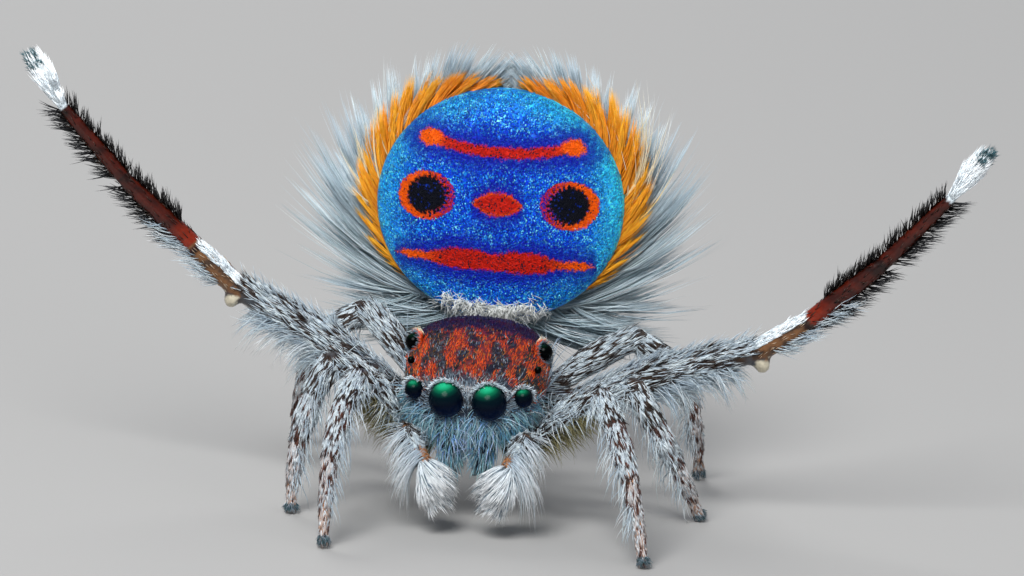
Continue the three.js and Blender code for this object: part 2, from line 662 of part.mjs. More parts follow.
// The whole spider as one group of named meshes
const spider = new THREE.Group();

function addMesh(name, { flesh, colour, locks }) {
  const tolerance = locks.length > 0 ? COAT_SLIVER : SLIVER;
  const mesh = largest(tidy(largest(join([flesh, ...locks])).simplify(tolerance))).getMesh();
  const geometry = new THREE.BufferGeometry();
  geometry.setAttribute("position", new THREE.BufferAttribute(mesh.vertProperties, 3));
  geometry.setIndex(new THREE.BufferAttribute(mesh.triVerts, 1));
  geometry.computeVertexNormals();
  const node = new THREE.Mesh(geometry, material(colour));
  node.name = name;
  spider.add(node);
}

const { carapace, sternum } = head();
addNode("carapace", carapace, COLOURS.carapace);
addNode("sternum", sternum, COLOURS.greyCoat);

addNode("fan", fanShape(0), COLOURS.blueFan);
addNode("abdomen", abdomenShape(0).subtract(fanShape(GAP)), COLOURS.greyCoat);
addNode("pedicel", pedicel(), COLOURS.skin);
addNode("spinnerets", spinnerets(), COLOURS.skin);

const rows = []; // what to dress once the flesh of every node is in place
for (const [sideName, side] of Object.entries(SIDES)) {
  for (const [name, eye] of Object.entries(EYES)) {
    addNode(`${name}_${sideName}`, eyeBall(eye, side, 0, eye.detail), COLOURS.eye);
  }
  addNode(`chelicera_${sideName}`, chelicera(side), COLOURS.greyCoat);
  const { arm, brush } = pedipalp(side);
  addNode(`palp_arm_${sideName}`, arm, COLOURS.greyCoat);
  addNode(`palp_brush_${sideName}`, brush, COLOURS.whiteCoat);
  for (const name of ["leg1", "leg2", "leg3", "leg4"]) {
    const raised = name === "leg3";
    const joints = raised ? raisedJoints(sideName) : standingJoints(name, sideName);
    const pieces = raised ? raisedLeg(joints) : standingLeg(joints);
    const radii = Object.values(raised ? RAISED_RADII : STANDING_RADII);
    for (const [part, partRows] of Object.entries(LIMB_ROWS[raised ? "raised" : "standing"])) {
      for (const row of partRows) rows.push([`${name}_${part}_${sideName}`, joints, radii[row.piece], row]);
    }
    addNode(`${name}_femur_${sideName}`, pieces.femur, COLOURS.greyCoat);
    addNode(`${name}_tibia_${sideName}`, pieces.tibia, raised ? COLOURS.redBrown : COLOURS.greyCoat);
    addNode(`${name}_foot_${sideName}`, pieces.foot, raised ? COLOURS.redBrown : COLOURS.greyCoat);
  }
}

for (const name of Object.keys(nodes)) samplePoints(name);
for (const [sideName, side] of Object.entries(SIDES)) {
  wearFringe("fan", side, ORANGE_ROW);
  wearFringe("abdomen", side, SKIRT_ROW);
  wearFringe("abdomen", side, FRINGE_ROW);
  wearFringe("abdomen", side, CREST_ROW);
  const joints = palpJoints(side);
  wearBrush(`palp_brush_${sideName}`, joints[3], joints[4], PALP_RADII.tarsus, BRUSH_ROW);
  for (const row of PALP_ROWS) {
    wearRow(`palp_arm_${sideName}`, joints, PALP_RADII.femur, { ...row, turn: -side * row.turn });
  }
  const jaw = [inHead(CHELICERA.top, side), inHead(CHELICERA.tip, side)];
  wearRow(`chelicera_${sideName}`, jaw, CHELICERA.radii, { ...JAW_ROW, piece: 0 });
}
for (const row of rows) wearRow(...row);
for (const [name, node] of Object.entries(nodes)) addMesh(name, node);

// The origin is the middle of the box that holds the spider, on the floor
const box = new THREE.Box3().setFromObject(spider);
const middle = box.getCenter(new THREE.Vector3());
spider.position.set(-middle.x, -middle.y, -box.min.z);

export default spider;
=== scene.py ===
# A male coastal peacock spider in courtship display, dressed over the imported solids.
#
# Sizes are in millimetres in the spider's own frame, where it faces -Y and its left is +X. The last step of
# each piece moves it by the shift that puts the part's origin in the middle of its box, and turns it into
# metres.
import math

import bpy
import numpy as np
from mathutils import Matrix, Vector


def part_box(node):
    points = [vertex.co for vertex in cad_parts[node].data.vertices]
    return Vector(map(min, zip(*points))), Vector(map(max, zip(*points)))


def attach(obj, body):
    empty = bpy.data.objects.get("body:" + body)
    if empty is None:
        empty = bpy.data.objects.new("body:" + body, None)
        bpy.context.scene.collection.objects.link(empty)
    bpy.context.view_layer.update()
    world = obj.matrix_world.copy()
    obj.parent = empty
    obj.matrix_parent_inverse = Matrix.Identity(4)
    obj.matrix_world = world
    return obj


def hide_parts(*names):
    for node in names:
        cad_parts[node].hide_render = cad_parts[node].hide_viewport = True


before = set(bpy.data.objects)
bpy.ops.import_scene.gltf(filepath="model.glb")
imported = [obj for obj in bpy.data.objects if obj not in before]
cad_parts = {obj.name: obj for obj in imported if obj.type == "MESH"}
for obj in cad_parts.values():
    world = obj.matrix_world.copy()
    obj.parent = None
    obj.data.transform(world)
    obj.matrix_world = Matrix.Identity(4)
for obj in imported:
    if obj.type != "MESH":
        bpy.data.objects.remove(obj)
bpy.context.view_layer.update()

MM = 0.001
TAU = 2 * math.pi
SEED = 7
UP = np.array([0.0, 0.0, 1.0])
DOWN = -UP
SIDES = {"left": 1, "right": -1}
rng = np.random.default_rng(SEED)

# The head and thorax in their own frame, whose middle stands at BODY_HEIGHT, tipped nose down by PITCH
PITCH = math.radians(13)
BODY_HEIGHT = 1.5
HEAD_HALF_LENGTH = 0.97
HEAD_BELLY = 0.42
HEAD_SQUARE = 2.5
HEAD_BLUNT = (5, 2.6)
HEAD_PLACES = [-1.02, -0.6, 0, 0.35, 0.7, 1.02]
HEAD_HALF_WIDTH = [0.66, 0.73, 0.79, 0.78, 0.66, 0.5]
HEAD_CROWN = [0.31, 0.39, 0.47, 0.5, 0.42, 0.24]
STERNUM = {"at": (0, 0.08, -0.5), "half": (0.4, 0.62, 0.16)}

# Eyes: centre in the head's frame for the left side, and radius
EYES = {
    "eye_front_middle": ((0.25, -0.93, 0.105), 0.195),
    "eye_front_side": ((0.6, -0.83, 0.15), 0.105),
    "eye_small": ((0.7, -0.36, 0.27), 0.04),
    "eye_rear": ((0.72, 0.03, 0.3), 0.095),
}

# The two large eyes stand this much closer to the middle than in the solids
EYE_CLOSER = 0.014

# Jaws and feelers, left side
CHELICERA = {"root": (0.185, -0.82, -0.1), "tip": (0.17, -0.88, -0.72), "radii": (0.15, 0.15, 0.09)}
FANG = {"root": (0.15, -0.9, -0.74), "tip": (0.05, -0.84, -0.86), "radii": (0.045, 0.035, 0.015)}
PALP = (
    (0.42, -0.62, 0.84), (0.66, -1.16, 1.08), (0.54, -1.28, 0.92), (0.45, -1.35, 0.8), (0.31, -1.42, 0.34),
)
PALP_SEGMENTS = ("femur", "patella", "tibia", "tarsus")
PALP_SWING = [0, 0.02, 0.04, 0.06, 0.09]
PALP_RADII = [(0.06, 0.065, 0.07), (0.07, 0.075, 0.07), (0.065, 0.065, 0.06), (0.06, 0.10, 0.07)]
PALP_BRUSH_FLAT = 1.6

# Legs: hips in the head's frame for the left side, the other points in the part's frame for each side
HIPS = {
    "leg1": (0.4, -0.45, -0.5), "leg2": (0.44, -0.05, -0.5),
    "leg3": (0.44, 0.34, -0.49), "leg4": (0.38, 0.71, -0.46),
}
THIGHS = {"leg1": (0.78, -0.6, 0.96), "leg2": (0.86, -0.08, 1.0), "leg4": (0.76, 0.98, 1.2)}
STANDING = {
    "leg1": {
        "left": ((1.45, -0.93, 1.56), (1.9, -2.0, 1.3), (2.12, -2.16, 0)),
        "right": ((1.2, -1.0, 1.58), (1.42, -2.15, 1.3), (1.32, -2.42, 0)),
    },
    "leg2": {
        "left": ((1.74, -0.3, 1.56), (2.2, -0.42, 0.95), (2.52, 0.1, 0)),
        "right": ((1.58, -0.42, 1.6), (1.9, -0.9, 1.1), (1.86, -1.02, 0)),
    },
    "leg4": {
        "left": ((1.6, 1.28, 1.72), (2.3, 1.55, 1.5), (2.34, 2.0, 0)),
        "right": ((1.42, 1.3, 1.8), (2.2, 1.6, 1.5), (2.2, 2.05, 0)),
    },
}
STANDING_SHARES = (0.25, 0.56, 0.83)
FOOT_ANKLE = 0.072
STANDING_RADII = [
    (0.15, 0.15, 0.13), (0.115, 0.155, 0.13), (0.125, 0.135, 0.115),
    (0.11, 0.12, 0.09), (0.085, 0.085, 0.065), (0.06, 0.055, 0.05),
]
RAISED_LENGTHS = (2.12, 0.64, 1.08, 1.08, 0.66)
RAISED_ANGLES = {"left": (21, 35, 43, 49, 57), "right": (30, 41, 41, 47, 58)}
RAISED_THIGH = {"left": (1.05, 0.44, 1.16), "right": (0.9, 0.44, 1.1)}
RAISED_LEAN = math.radians(3)
RAISED_RADII = [
    (0.15, 0.15, 0.13), (0.13, 0.19, 0.135), (0.125, 0.135, 0.115),
    (0.105, 0.11, 0.095), (0.088, 0.085, 0.07), (0.050, 0.105, 0.060),
]
THIGH_BOW = 0.05
JOINT_SWELLING = {"below": 0.145, "radius": 0.12, "ahead": 0.04}
SEGMENTS = ("coxa", "femur", "patella", "tibia", "metatarsus", "tarsus")

# The abdomen stands behind the head, with its upper side, the fan, turned forward
FAN_AT = (0, 1.5, 3.08)
FAN_HALF = (1.38, 1.29)
FAN_FRONT = 0.42
FAN_BACK = 0.1
FAN_DOMED = 2.3
FAN_LEAN = math.radians(-6)
ABDOMEN = {"at": (0, 0.5, -0.1), "half": (1.03, 0.6, 1.25)}
PEDICEL = {"front": (0, 0.9, 1.46), "rear": (0, 1.62, 1.86), "radii": (0.13, 0.12, 0.15)}
SPINNERETS = {
    "at": (0, 0.74, 1.0), "spread": 0.075, "tip_spread": 0.12, "back": 0.12, "length": 0.26, "count": 5,
}
SPINNERET_RADII = (0.075, 0.06, 0.03)

# The camera: it looks from a little to the spider's left and above, and is rolled. These pixels of the
# 1024 x 576 frame fall on the floor under the middle of the spider, and on the middle of the picture.
PIXEL = 0.011
CAMERA_AZIMUTH = math.radians(5.5)
CAMERA_ELEVATION = math.radians(13)
CAMERA_ROLL = math.radians(3.4)
CAMERA_DISTANCE = 120
CAMERA_SENSOR = 36
FLOOR_PIXEL = (470, 505)
MIDDLE_PIXEL = (512, 288)
FRAME_WIDTH = 1024
CAMERA_CLIP = (0.005, 5)

# How the forms of the flesh are drawn: rings of points, with domed ends on the limbs
RADIUS_PLACES = (0.05, 0.45, 0.95)
LIMB_ROWS = 8
LIMB_AROUND = 24
DOME = 0.7
DOME_SHOULDER = 0.8
DOME_END = 0.02
LUMP_ROWS = 60
LUMP_AROUND = 96
LUMP_SPANS = (2.4, 0.8)
CURVE_STEPS = 201
NOISE_WAVES = 7
NOISE_PACE = (0.6, 1.7)
NOISE_HEIGHT = 3.2


def vec(*values):
    return np.array(values, float)


def unit(v):
    return v / (np.linalg.norm(v, axis=-1, keepdims=True) + 1e-12)


def turn_x(angle, at):
    """A frame turned about X and moved, as a matrix and an offset."""
    c, s = math.cos(angle), math.sin(angle)
    return np.array([[1, 0, 0], [0, c, -s], [0, s, c]]), vec(*at)


HEAD_FRAME = turn_x(PITCH, (0, 0, BODY_HEIGHT))
FAN_FRAME = turn_x(FAN_LEAN, FAN_AT)


def placed(points, where):
    turn, at = where
    return points @ turn.T + at


def mirrored(values, side):
    return vec(*values) * vec(side, 1, 1)


def in_head(values, side=1):
    return placed(mirrored(values, side), HEAD_FRAME)


def from_head(points):
    return (points - HEAD_FRAME[1]) @ HEAD_FRAME[0]


def eye_middle(name, side):
    """The middle of an eye; the two large ones stand a touch closer together than in the solids."""
    at = EYES[name][0]
    return in_head((at[0] - EYE_CLOSER if name == "eye_front_middle" else at[0], *at[1:]), side)


def smooth_noise(points, size, seed):
    """Soft noise from -1 to 1 that changes over about the given size."""
    waves = np.random.default_rng(seed)
    total = np.zeros(len(points))
    for _ in range(NOISE_WAVES):
        direction = unit(waves.normal(size=3))
        pace = waves.uniform(*NOISE_PACE) * TAU / size
        total += np.sin(points @ direction * pace + waves.uniform(0, TAU))
    return total / NOISE_HEIGHT


def step(value, low, high):
    t = np.clip((value - low) / (high - low), 0, 1)
    return t * t * (3 - 2 * t)


class Limb:
    """A segment of a limb. t runs from its start to its end, phi round it from its upper side."""

    def __init__(self, start, end, radii, bow=0.0, flat=1.0):
        self.start, self.end, self.radii, self.bow, self.flat = start, end, radii, bow, flat
        self.length = np.linalg.norm(end - start)
        self.forward = (end - start) / self.length
        self.across = unit(np.cross(self.forward, UP))
        self.up = np.cross(self.across, self.forward)

    def radius(self, t):
        return np.interp(t, RADIUS_PLACES, self.radii)

    def point(self, t, phi):
        r = self.radius(t)
        arch = 4 * self.bow * t * (1 - t)
        return (
            self.start
            + np.outer(t * self.length, self.forward)
            + np.outer(np.cos(phi) * r + arch, self.up)
            + np.outer(np.sin(phi) * r * self.flat, self.across)
        )

    def normal(self, t, phi):
        return np.outer(np.cos(phi), self.up) + np.outer(np.sin(phi), self.across)

    def tangent(self, t, phi):
        return np.tile(self.forward, (len(t), 1))

    def local(self, points):
        """t, phi and the distance from the surface of each point."""
        d = points - self.start
        t = d @ self.forward / self.length
        inner = np.clip(t, 0, 1)
        x, z = d @ self.across / self.flat, d @ self.up - 4 * self.bow * inner * (1 - inner)
        over = (t - inner) * self.length
        distance = np.sqrt(x * x + z * z + over * over) - self.radius(inner)
        return inner, np.arctan2(x, z), distance

    def shell(self):
        """Rings of points from end to end, with domed ends."""
        first, last = DOME * self.radii[0], DOME * self.radii[2]
        rings = [(-first, DOME_END), (-0.5 * first, DOME_SHOULDER), (RADIUS_PLACES[0] * self.length, 1)]
        rings += [(self.length * k / LIMB_ROWS, 1) for k in range(1, LIMB_ROWS)]
        rings += [(RADIUS_PLACES[2] * self.length, 1)]
        rings += [(self.length + 0.5 * last, DOME_SHOULDER), (self.length + last, DOME_END)]
        phi = np.linspace(0, TAU, LIMB_AROUND, endpoint=False)
        out = []
        for place, share in rings:
            t = np.full(LIMB_AROUND, np.clip(place / self.length, 0, 1))
            ring = self.point(t, phi)
            middle = self.start + self.forward * place + self.up * 4 * self.bow * t[0] * (1 - t[0])
            out.append(middle + (ring - ring.mean(0)) * share)
        return np.array(out)

    def spans(self):
        """The length and the usual distance round for one radian, for cells of an even size."""
        return self.length, self.radii[1]


class Lump:
    """A rounded body. t runs from front to rear along Y of its own frame, phi round it from the top."""

    def __init__(self, half_length, ring, where, blunt=(2, 2), square=2.0):
        self.half_length, self.ring, self.where = half_length, ring, where
        self.blunt, self.square = blunt, square

    def reach(self, y, phi):
        """How far the surface lies from the axis at a place along it."""
        share = np.clip(np.abs(y), 0, 1)
        power = np.where(y < 0, self.blunt[0], self.blunt[1])
        close = (1 - share**power) ** (1 / power)
        dx, dz = np.abs(np.sin(phi)), np.abs(np.cos(phi))
        width, top, bottom = self.ring(y * self.half_length)
        height = np.where(np.cos(phi) > 0, top, bottom)
        n = self.square
        box = (dx**n + dz**n) ** (-1 / n)
        return np.stack([np.sin(phi) * box * width * close, np.cos(phi) * box * height * close], -1)

    def point(self, t, phi):
        y = -np.cos(math.pi * np.clip(t, 0, 1))
        xz = self.reach(y, phi)
        return placed(np.stack([xz[:, 0], y * self.half_length, xz[:, 1]], -1), self.where)

    def tangent(self, t, phi):
        a, b = np.clip(t - 0.01, 0.002, 0.998), np.clip(t + 0.01, 0.002, 0.998)
        return unit(self.point(b, phi) - self.point(a, phi))

    def normal(self, t, phi):
        near = np.clip(t, 0.02, 0.98)
        around = self.point(near, phi + 0.02) - self.point(near, phi - 0.02)
        return unit(np.cross(self.tangent(t, phi), around))

    def local(self, points):
        turn, at = self.where
        p = (points - at) @ turn
        y = np.clip(p[:, 1] / self.half_length, -1, 1)
        phi = np.arctan2(p[:, 0], p[:, 2])
        xz = self.reach(y, phi)
        over = np.maximum(np.abs(p[:, 1]) - self.half_length, 0)
        distance = np.hypot(p[:, 0], p[:, 2]) - np.hypot(xz[:, 0], xz[:, 1]) + over
        return np.arccos(-y) / math.pi, phi, distance

    def shell(self):
        phi = np.linspace(0, TAU, LUMP_AROUND, endpoint=False)
        rows = np.concatenate([[0.01], np.linspace(0.03, 0.97, LUMP_ROWS), [0.99]])
        return np.array([self.point(np.full(LUMP_AROUND, t), phi) for t in rows])

    def spans(self):
        return self.half_length * LUMP_SPANS[0], self.half_length * LUMP_SPANS[1]


def ellipsoid(half, at, where):
    turn, base = where
    return Lump(half[1], lambda y: (half[0], half[2], half[2]), (turn, placed(vec(*at), where)))


def head_ring(y):
    return np.interp(y, HEAD_PLACES, HEAD_HALF_WIDTH), np.interp(y, HEAD_PLACES, HEAD_CROWN), HEAD_BELLY


def head_limb(form, side):
    return Limb(in_head(form["root"], side), in_head(form["tip"], side), form["radii"])


def standing_joints(name, side_name):
    side = SIDES[side_name]
    knee, bend, foot = (mirrored(p, side) for p in STANDING[name][side_name])
    sole = foot + vec(0, 0, FOOT_ANKLE)
    fine = np.linspace(0, 1, CURVE_STEPS)[:, None]
    curve = (1 - fine) ** 2 * knee + 2 * fine * (1 - fine) * bend + fine**2 * sole
    run = np.concatenate([[0], np.cumsum(np.linalg.norm(np.diff(curve, axis=0), axis=1))])
    shares = np.array(STANDING_SHARES) * run[-1]
    middle = np.stack([np.interp(shares, run, curve[:, k]) for k in range(3)], -1)
    return [in_head(HIPS[name], side), mirrored(THIGHS[name], side), knee, *middle, sole]


def raised_joints(side_name):
    side = SIDES[side_name]
    joints = [in_head(HIPS["leg3"], side), mirrored(RAISED_THIGH[side_name], side)]
    for length, rise in zip(RAISED_LENGTHS, RAISED_ANGLES[side_name]):
        rise = math.radians(rise)
        way = vec(side * math.cos(rise) * math.cos(RAISED_LEAN), -math.sin(RAISED_LEAN), math.sin(rise))
        joints.append(joints[-1] + way * length)
    return joints


# Every form of the flesh by name
forms = {
    "head": Lump(HEAD_HALF_LENGTH, head_ring, HEAD_FRAME, HEAD_BLUNT, HEAD_SQUARE),
    "sternum": ellipsoid(STERNUM["half"], STERNUM["at"], HEAD_FRAME),
    "abdomen": ellipsoid(ABDOMEN["half"], ABDOMEN["at"], FAN_FRAME),
    "pedicel": Limb(vec(*PEDICEL["front"]), vec(*PEDICEL["rear"]), PEDICEL["radii"]),
}
for side_name, side in SIDES.items():
    forms[f"jaw_{side_name}"] = head_limb(CHELICERA, side)
    forms[f"fang_{side_name}"] = head_limb(FANG, side)
    palp = [mirrored(p, side) + vec(swing, 0, 0) for p, swing in zip(PALP, PALP_SWING)]
    for i, part in enumerate(PALP_SEGMENTS):
        flat = PALP_BRUSH_FLAT if part == "tarsus" else 1.0
        forms[f"palp_{part}_{side_name}"] = Limb(palp[i], palp[i + 1], PALP_RADII[i], flat=flat)
    for name in HIPS:
        raised = name == "leg3"
        joints = raised_joints(side_name) if raised else standing_joints(name, side_name)
        radii = RAISED_RADII if raised else STANDING_RADII
        for i, part in enumerate(SEGMENTS):
            bow = THIGH_BOW if part == "femur" else 0.0
            forms[f"{name}_{part}_{side_name}"] = Limb(joints[i], joints[i + 1], radii[i], bow=bow)
        if raised:
            ahead = unit(joints[2] - joints[1]) * JOINT_SWELLING["ahead"]
            low = joints[2] - UP * JOINT_SWELLING["below"] + ahead
            forms[f"leg3_swelling_{side_name}"] = Limb(low, low + ahead, (JOINT_SWELLING["radius"],) * 3)

root = placed(vec(*SPINNERETS["at"]), FAN_FRAME)
for i in range(SPINNERETS["count"]):
    around = TAU * i / SPINNERETS["count"]
    off = vec(math.cos(around), math.sin(around), 0)
    tip = root + off * SPINNERETS["tip_spread"] + vec(0, SPINNERETS["back"], SPINNERETS["length"])
    forms[f"spinneret_{i}"] = Limb(root + off * SPINNERETS["spread"], tip, SPINNERET_RADII)

# The shift from the spider's own frame to the part's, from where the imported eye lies
low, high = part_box("eye_front_middle_left")
SHIFT = np.array((low + high) / 2) / MM - in_head(EYES["eye_front_middle"][0])
SHIFT[2] = 0.0

# Each form has a square of the map, where its t runs across and its phi up
CHART_COLUMNS = 9
CHART_MARGIN = 0.004
CHART = {}
for i, name in enumerate([*forms, "fan"]):
    CHART[name] = ((i % CHART_COLUMNS) / CHART_COLUMNS, (i // CHART_COLUMNS) / CHART_COLUMNS)
CHART_SIZE = 1 / CHART_COLUMNS - 2 * CHART_MARGIN


def on_chart(name, t, phi):
    x, y = CHART[name]
    u = x + CHART_MARGIN + np.clip(t, 0, 1) * CHART_SIZE
    v = y + CHART_MARGIN + np.clip(phi / TAU + 0.5, 0, 1) * CHART_SIZE
    return np.stack([u, v], -1)


# Colours, as linear light
WHITE = vec(0.80, 0.90, 0.96)
PALE_GREY = vec(0.33, 0.42, 0.50)
BLUE_GREY = vec(0.17, 0.26, 0.34)
MID_GREY = vec(0.07, 0.075, 0.085)
FLECK = vec(0.022, 0.014, 0.011)
FLECK_BROWN = vec(0.055, 0.030, 0.018)
FLECK_RED = vec(0.14, 0.040, 0.022)
BRISTLE = vec(0.006, 0.005, 0.005)
MAHOGANY = vec(0.070, 0.0070, 0.0022)
MAHOGANY_DARK = vec(0.009, 0.002, 0.001)
# painted highlight near the base of the raised leg's shin
MAHOGANY_PAINTED_HIGHLIGHT = vec(0.30, 0.022, 0.003)
TAN = vec(0.36, 0.16, 0.06)
PALE_SKIN = vec(0.55, 0.50, 0.38)
OLIVE = vec(0.20, 0.18, 0.08)
TEAL_DARK = vec(0.012, 0.045, 0.055)
TEAL_TIP = vec(0.06, 0.16, 0.19)
FACE_SHADE = vec(0.010, 0.022, 0.045)
FACE_BLUE = vec(0.05, 0.31, 0.95)
FACE_PALE = vec(0.32, 0.68, 0.99)
FRINGE_SHADE = vec(0.16, 0.25, 0.28)
TUFT_PALE = vec(0.85, 0.74, 0.42)
FOOT_ORANGE = vec(0.48, 0.25, 0.14)
SCALE_RED = vec(0.86, 0.090, 0.006)
SCALE_OCHRE = vec(0.55, 0.27, 0.05)
SCALE_DARK = vec(0.021, 0.016, 0.013)
CREAM = vec(0.74, 0.66, 0.48)
NAVY = vec(0.012, 0.010, 0.050)
ORANGE = vec(0.96, 0.31, 0.004)
ORANGE_DEEP = vec(0.60, 0.10, 0.003)
YELLOW = vec(1.0, 0.56, 0.03)
FAN_BLUE = vec(0.003, 0.066, 0.72)
FAN_DEEP = vec(0.008, 0.009, 0.42)
FAN_CYAN = vec(0.02, 0.42, 0.95)
FAN_RED = vec(0.64, 0.018, 0.008)
FAN_ORANGE = vec(1.0, 0.15, 0.002)
FAN_BLACK = vec(0.003, 0.004, 0.010)
# painted glint on the fan's scales
FAN_PAINTED_GLINT = vec(0.22, 0.86, 1.0)
# painted highlight on the fan's rim
FAN_PAINTED_HIGHLIGHT = vec(0.04, 0.66, 0.97)


def mix(a, b, share):
    share = np.reshape(share, (-1, 1))
    return a * (1 - share) + b * share


def link(obj):
    bpy.context.scene.collection.objects.link(obj)


def starts(sizes):
    """The place of the first corner of each face."""
    return np.concatenate([[0], np.cumsum(sizes)[:-1]])


def plain_mesh(name, points, faces, sizes):
    """A mesh from points, the corners of its faces one after another, and each face's corner count."""
    mesh = bpy.data.meshes.new(name)
    mesh.vertices.add(len(points))
    mesh.vertices.foreach_set("co", points.astype(np.float32).ravel())
    mesh.loops.add(len(faces))
    mesh.loops.foreach_set("vertex_index", faces.astype(np.int32))
    mesh.polygons.add(len(sizes))
    mesh.polygons.foreach_set("loop_start", starts(sizes).astype(np.int32))
    mesh.polygons.foreach_set("loop_total", sizes.astype(np.int32))
    mesh.polygons.foreach_set("use_smooth", np.ones(len(sizes), bool))
    mesh.update(calc_edges=True)
    return mesh


def mesh_object(name, points, faces, sizes, colours, uv, material, slot):
    """A piece of the model: its mesh with a colour for each point and a place on the map for each corner."""
    mesh = plain_mesh(name, (points + SHIFT) * MM, faces, sizes)
    paint = mesh.color_attributes.new("Colour", "FLOAT_COLOR", "POINT")
    opaque = np.concatenate([colours, np.ones((len(colours), 1))], 1)
    paint.data.foreach_set("color", opaque.astype(np.float32).ravel())
    mesh.color_attributes.active_color = paint
    layer = mesh.uv_layers.new(name="OFBake")
    layer.uv.foreach_set("vector", uv.astype(np.float32).ravel())
    obj = bpy.data.objects.new(name, mesh)
    link(obj)
    mesh.materials.append(material)
    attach(obj, "root")
    return obj


# Materials
def node_material(name):
    material = bpy.data.materials.new(name)
    material.use_nodes = True
    nodes, links = material.node_tree.nodes, material.node_tree.links
    return material, nodes, links, nodes["Principled BSDF"]


def set_inputs(node, values):
    for name, value in values.items():
        node.inputs[name].default_value = value


def mesh_colour(nodes):
    paint = nodes.new("ShaderNodeVertexColor")
    paint.layer_name = "Colour"
    return paint.outputs["Color"]


def vector_node(nodes, operation):
    node = nodes.new("ShaderNodeVectorMath")
    node.operation = operation
    return node


def painted(name, roughness, grain, grain_size, metallic=0.0, coat=0.0, bump=0.0, specular=0.5):
    """A surface that takes its colour from the mesh, varied by fine noise."""
    material, nodes, links, shader = node_material(name)
    noise = nodes.new("ShaderNodeTexNoise")
    set_inputs(noise, {"Scale": 1 / (grain_size * MM), "Detail": 3})
    links.new(nodes.new("ShaderNodeTexCoord").outputs["Object"], noise.inputs["Vector"])
    spread = nodes.new("ShaderNodeMapRange")
    set_inputs(spread, {"To Min": 1 - grain, "To Max": 1 + grain})
    links.new(noise.outputs["Fac"], spread.inputs["Value"])
    scale = vector_node(nodes, "SCALE")
    links.new(mesh_colour(nodes), scale.inputs[0])
    links.new(spread.outputs["Result"], scale.inputs["Scale"])
    links.new(scale.outputs["Vector"], shader.inputs["Base Color"])
    set_inputs(shader, {
        "Roughness": roughness, "Metallic": metallic, "Coat Weight": coat, "Coat Roughness": 0.15,
        "Specular IOR Level": specular,
    })
    if bump:
        relief = nodes.new("ShaderNodeBump")
        set_inputs(relief, {"Strength": bump, "Distance": grain_size * MM * 0.5})
        links.new(noise.outputs["Fac"], relief.inputs["Height"])
        links.new(relief.outputs["Normal"], shader.inputs["Normal"])
    return material


HAIR = painted("hair", 0.42, 0.22, 0.05, specular=0.6)
BLACK_HAIR = painted("black_hair", 0.3, 0.3, 0.05, specular=0.5)
SKIN = painted("skin", 0.28, 0.45, 0.05, coat=0.3, bump=0.2, specular=0.25)
SCALES = painted("fan_scales", 0.34, 0.18, 0.02, metallic=0.5, specular=0.25)
SHIELD = painted("fan_shield", 0.5, 0.3, 0.015, metallic=0.3, bump=0.5, specular=0.2)


# The markings of the fan, in its own frame: x to the spider's left, z up, from its middle
BROW = {"end": 0.79, "end_height": 0.71, "middle_height": 0.60, "thick": 0.060, "bulb": (0.13, 0.095)}
SPOT = {"at": (0.785, 0.07), "black": (0.228, 0.215), "ring": (0.325, 0.272), "ring_shift": 0.010}
LENS = {"at": (0, 0.03), "half": (0.29, 0.135)}
MOUTH = {
    "end": 1.12, "height": -0.60, "thick": 0.072, "thin": 0.045, "wide_to": (0.42, 0.80),
    "thin_to": (0.96, 1.13), "notch": 0.05, "notch_wide": 0.13,
}
SPOT_TICKS = {"count": 24, "outer": 0.010, "inner": 0.022}

# The share of cyan scales and of painted glints on the fan: in its middle, and what the painted highlight at
# its edge adds
CYAN_SHARE = (0.37, 0.28)
PAINTED_GLINT_SHARE = (0.085, 0.10)
BLACK_SHARE = 0.13
SPECK_SHARE = 0.05
HALO = {"from": -0.25, "to": -0.02, "strength": 0.88}
BORDER = 0.012
RAGGED = {"size": 0.09, "noise": 0.012, "grain": 0.020}


def random_of(seed, n):
    """Numbers from 0 to 1 of their own, apart from the shared ones."""
    return np.random.default_rng(seed).random(n)


def fan_share(x, z):
    """0 in the middle of the fan, 1 at its rim."""
    return np.sqrt((x / FAN_HALF[0]) ** 2 + (z / FAN_HALF[1]) ** 2)


def fan_ground(x, z, random, patch):
    """The blue ground with bright cyan scales and painted glints strewn in it, and a painted highlight that
    lightens it toward the rim, most of all on the spider's left and in its upper half.
    """
    n = len(x)
    far = fan_share(x, z)
    base = mix(FAN_BLUE, FAN_DEEP, np.clip(0.22 - 0.35 * patch + 0.5 * (random - 0.5), 0, 1))
    glitter = random_of(3, n)
    # painted highlight: lighter toward the rim, more at the sides, and brighter still on the rim on the
    # spider's left and in the upper half
    edge_highlight = step(far, 0.60, 0.97) * (0.5 + 0.5 * step(np.abs(x), 0.2, 1.1))
    rim = step(far, 0.74, 0.98) * (0.30 + 0.70 * step(x, -0.2, 0.9)) * step(z, -1.0, 0.0)
    cyan = glitter < CYAN_SHARE[0] + CYAN_SHARE[1] * edge_highlight
    # painted glints: a few scales are set very bright, more of them toward the rim
    glint = glitter < PAINTED_GLINT_SHARE[0] + PAINTED_GLINT_SHARE[1] * edge_highlight
    base = mix(base, FAN_CYAN, cyan * (0.25 + 0.65 * random))
    base = mix(base, FAN_PAINTED_GLINT, glint * (0.5 + 0.5 * random))
    base = mix(base, FAN_PAINTED_HIGHLIGHT, np.clip(edge_highlight * 0.24 + rim * 0.62, 0, 1) * (0.5 + 0.7 * random))
    return np.minimum(base * (0.45 + 1.1 * random_of(12, n))[:, None], 1.0)


def oval(x, z, half):
    """The distance into an oval, above 0 inside it."""
    return (1 - np.hypot(x / half[0], z / half[1])) * half[1]


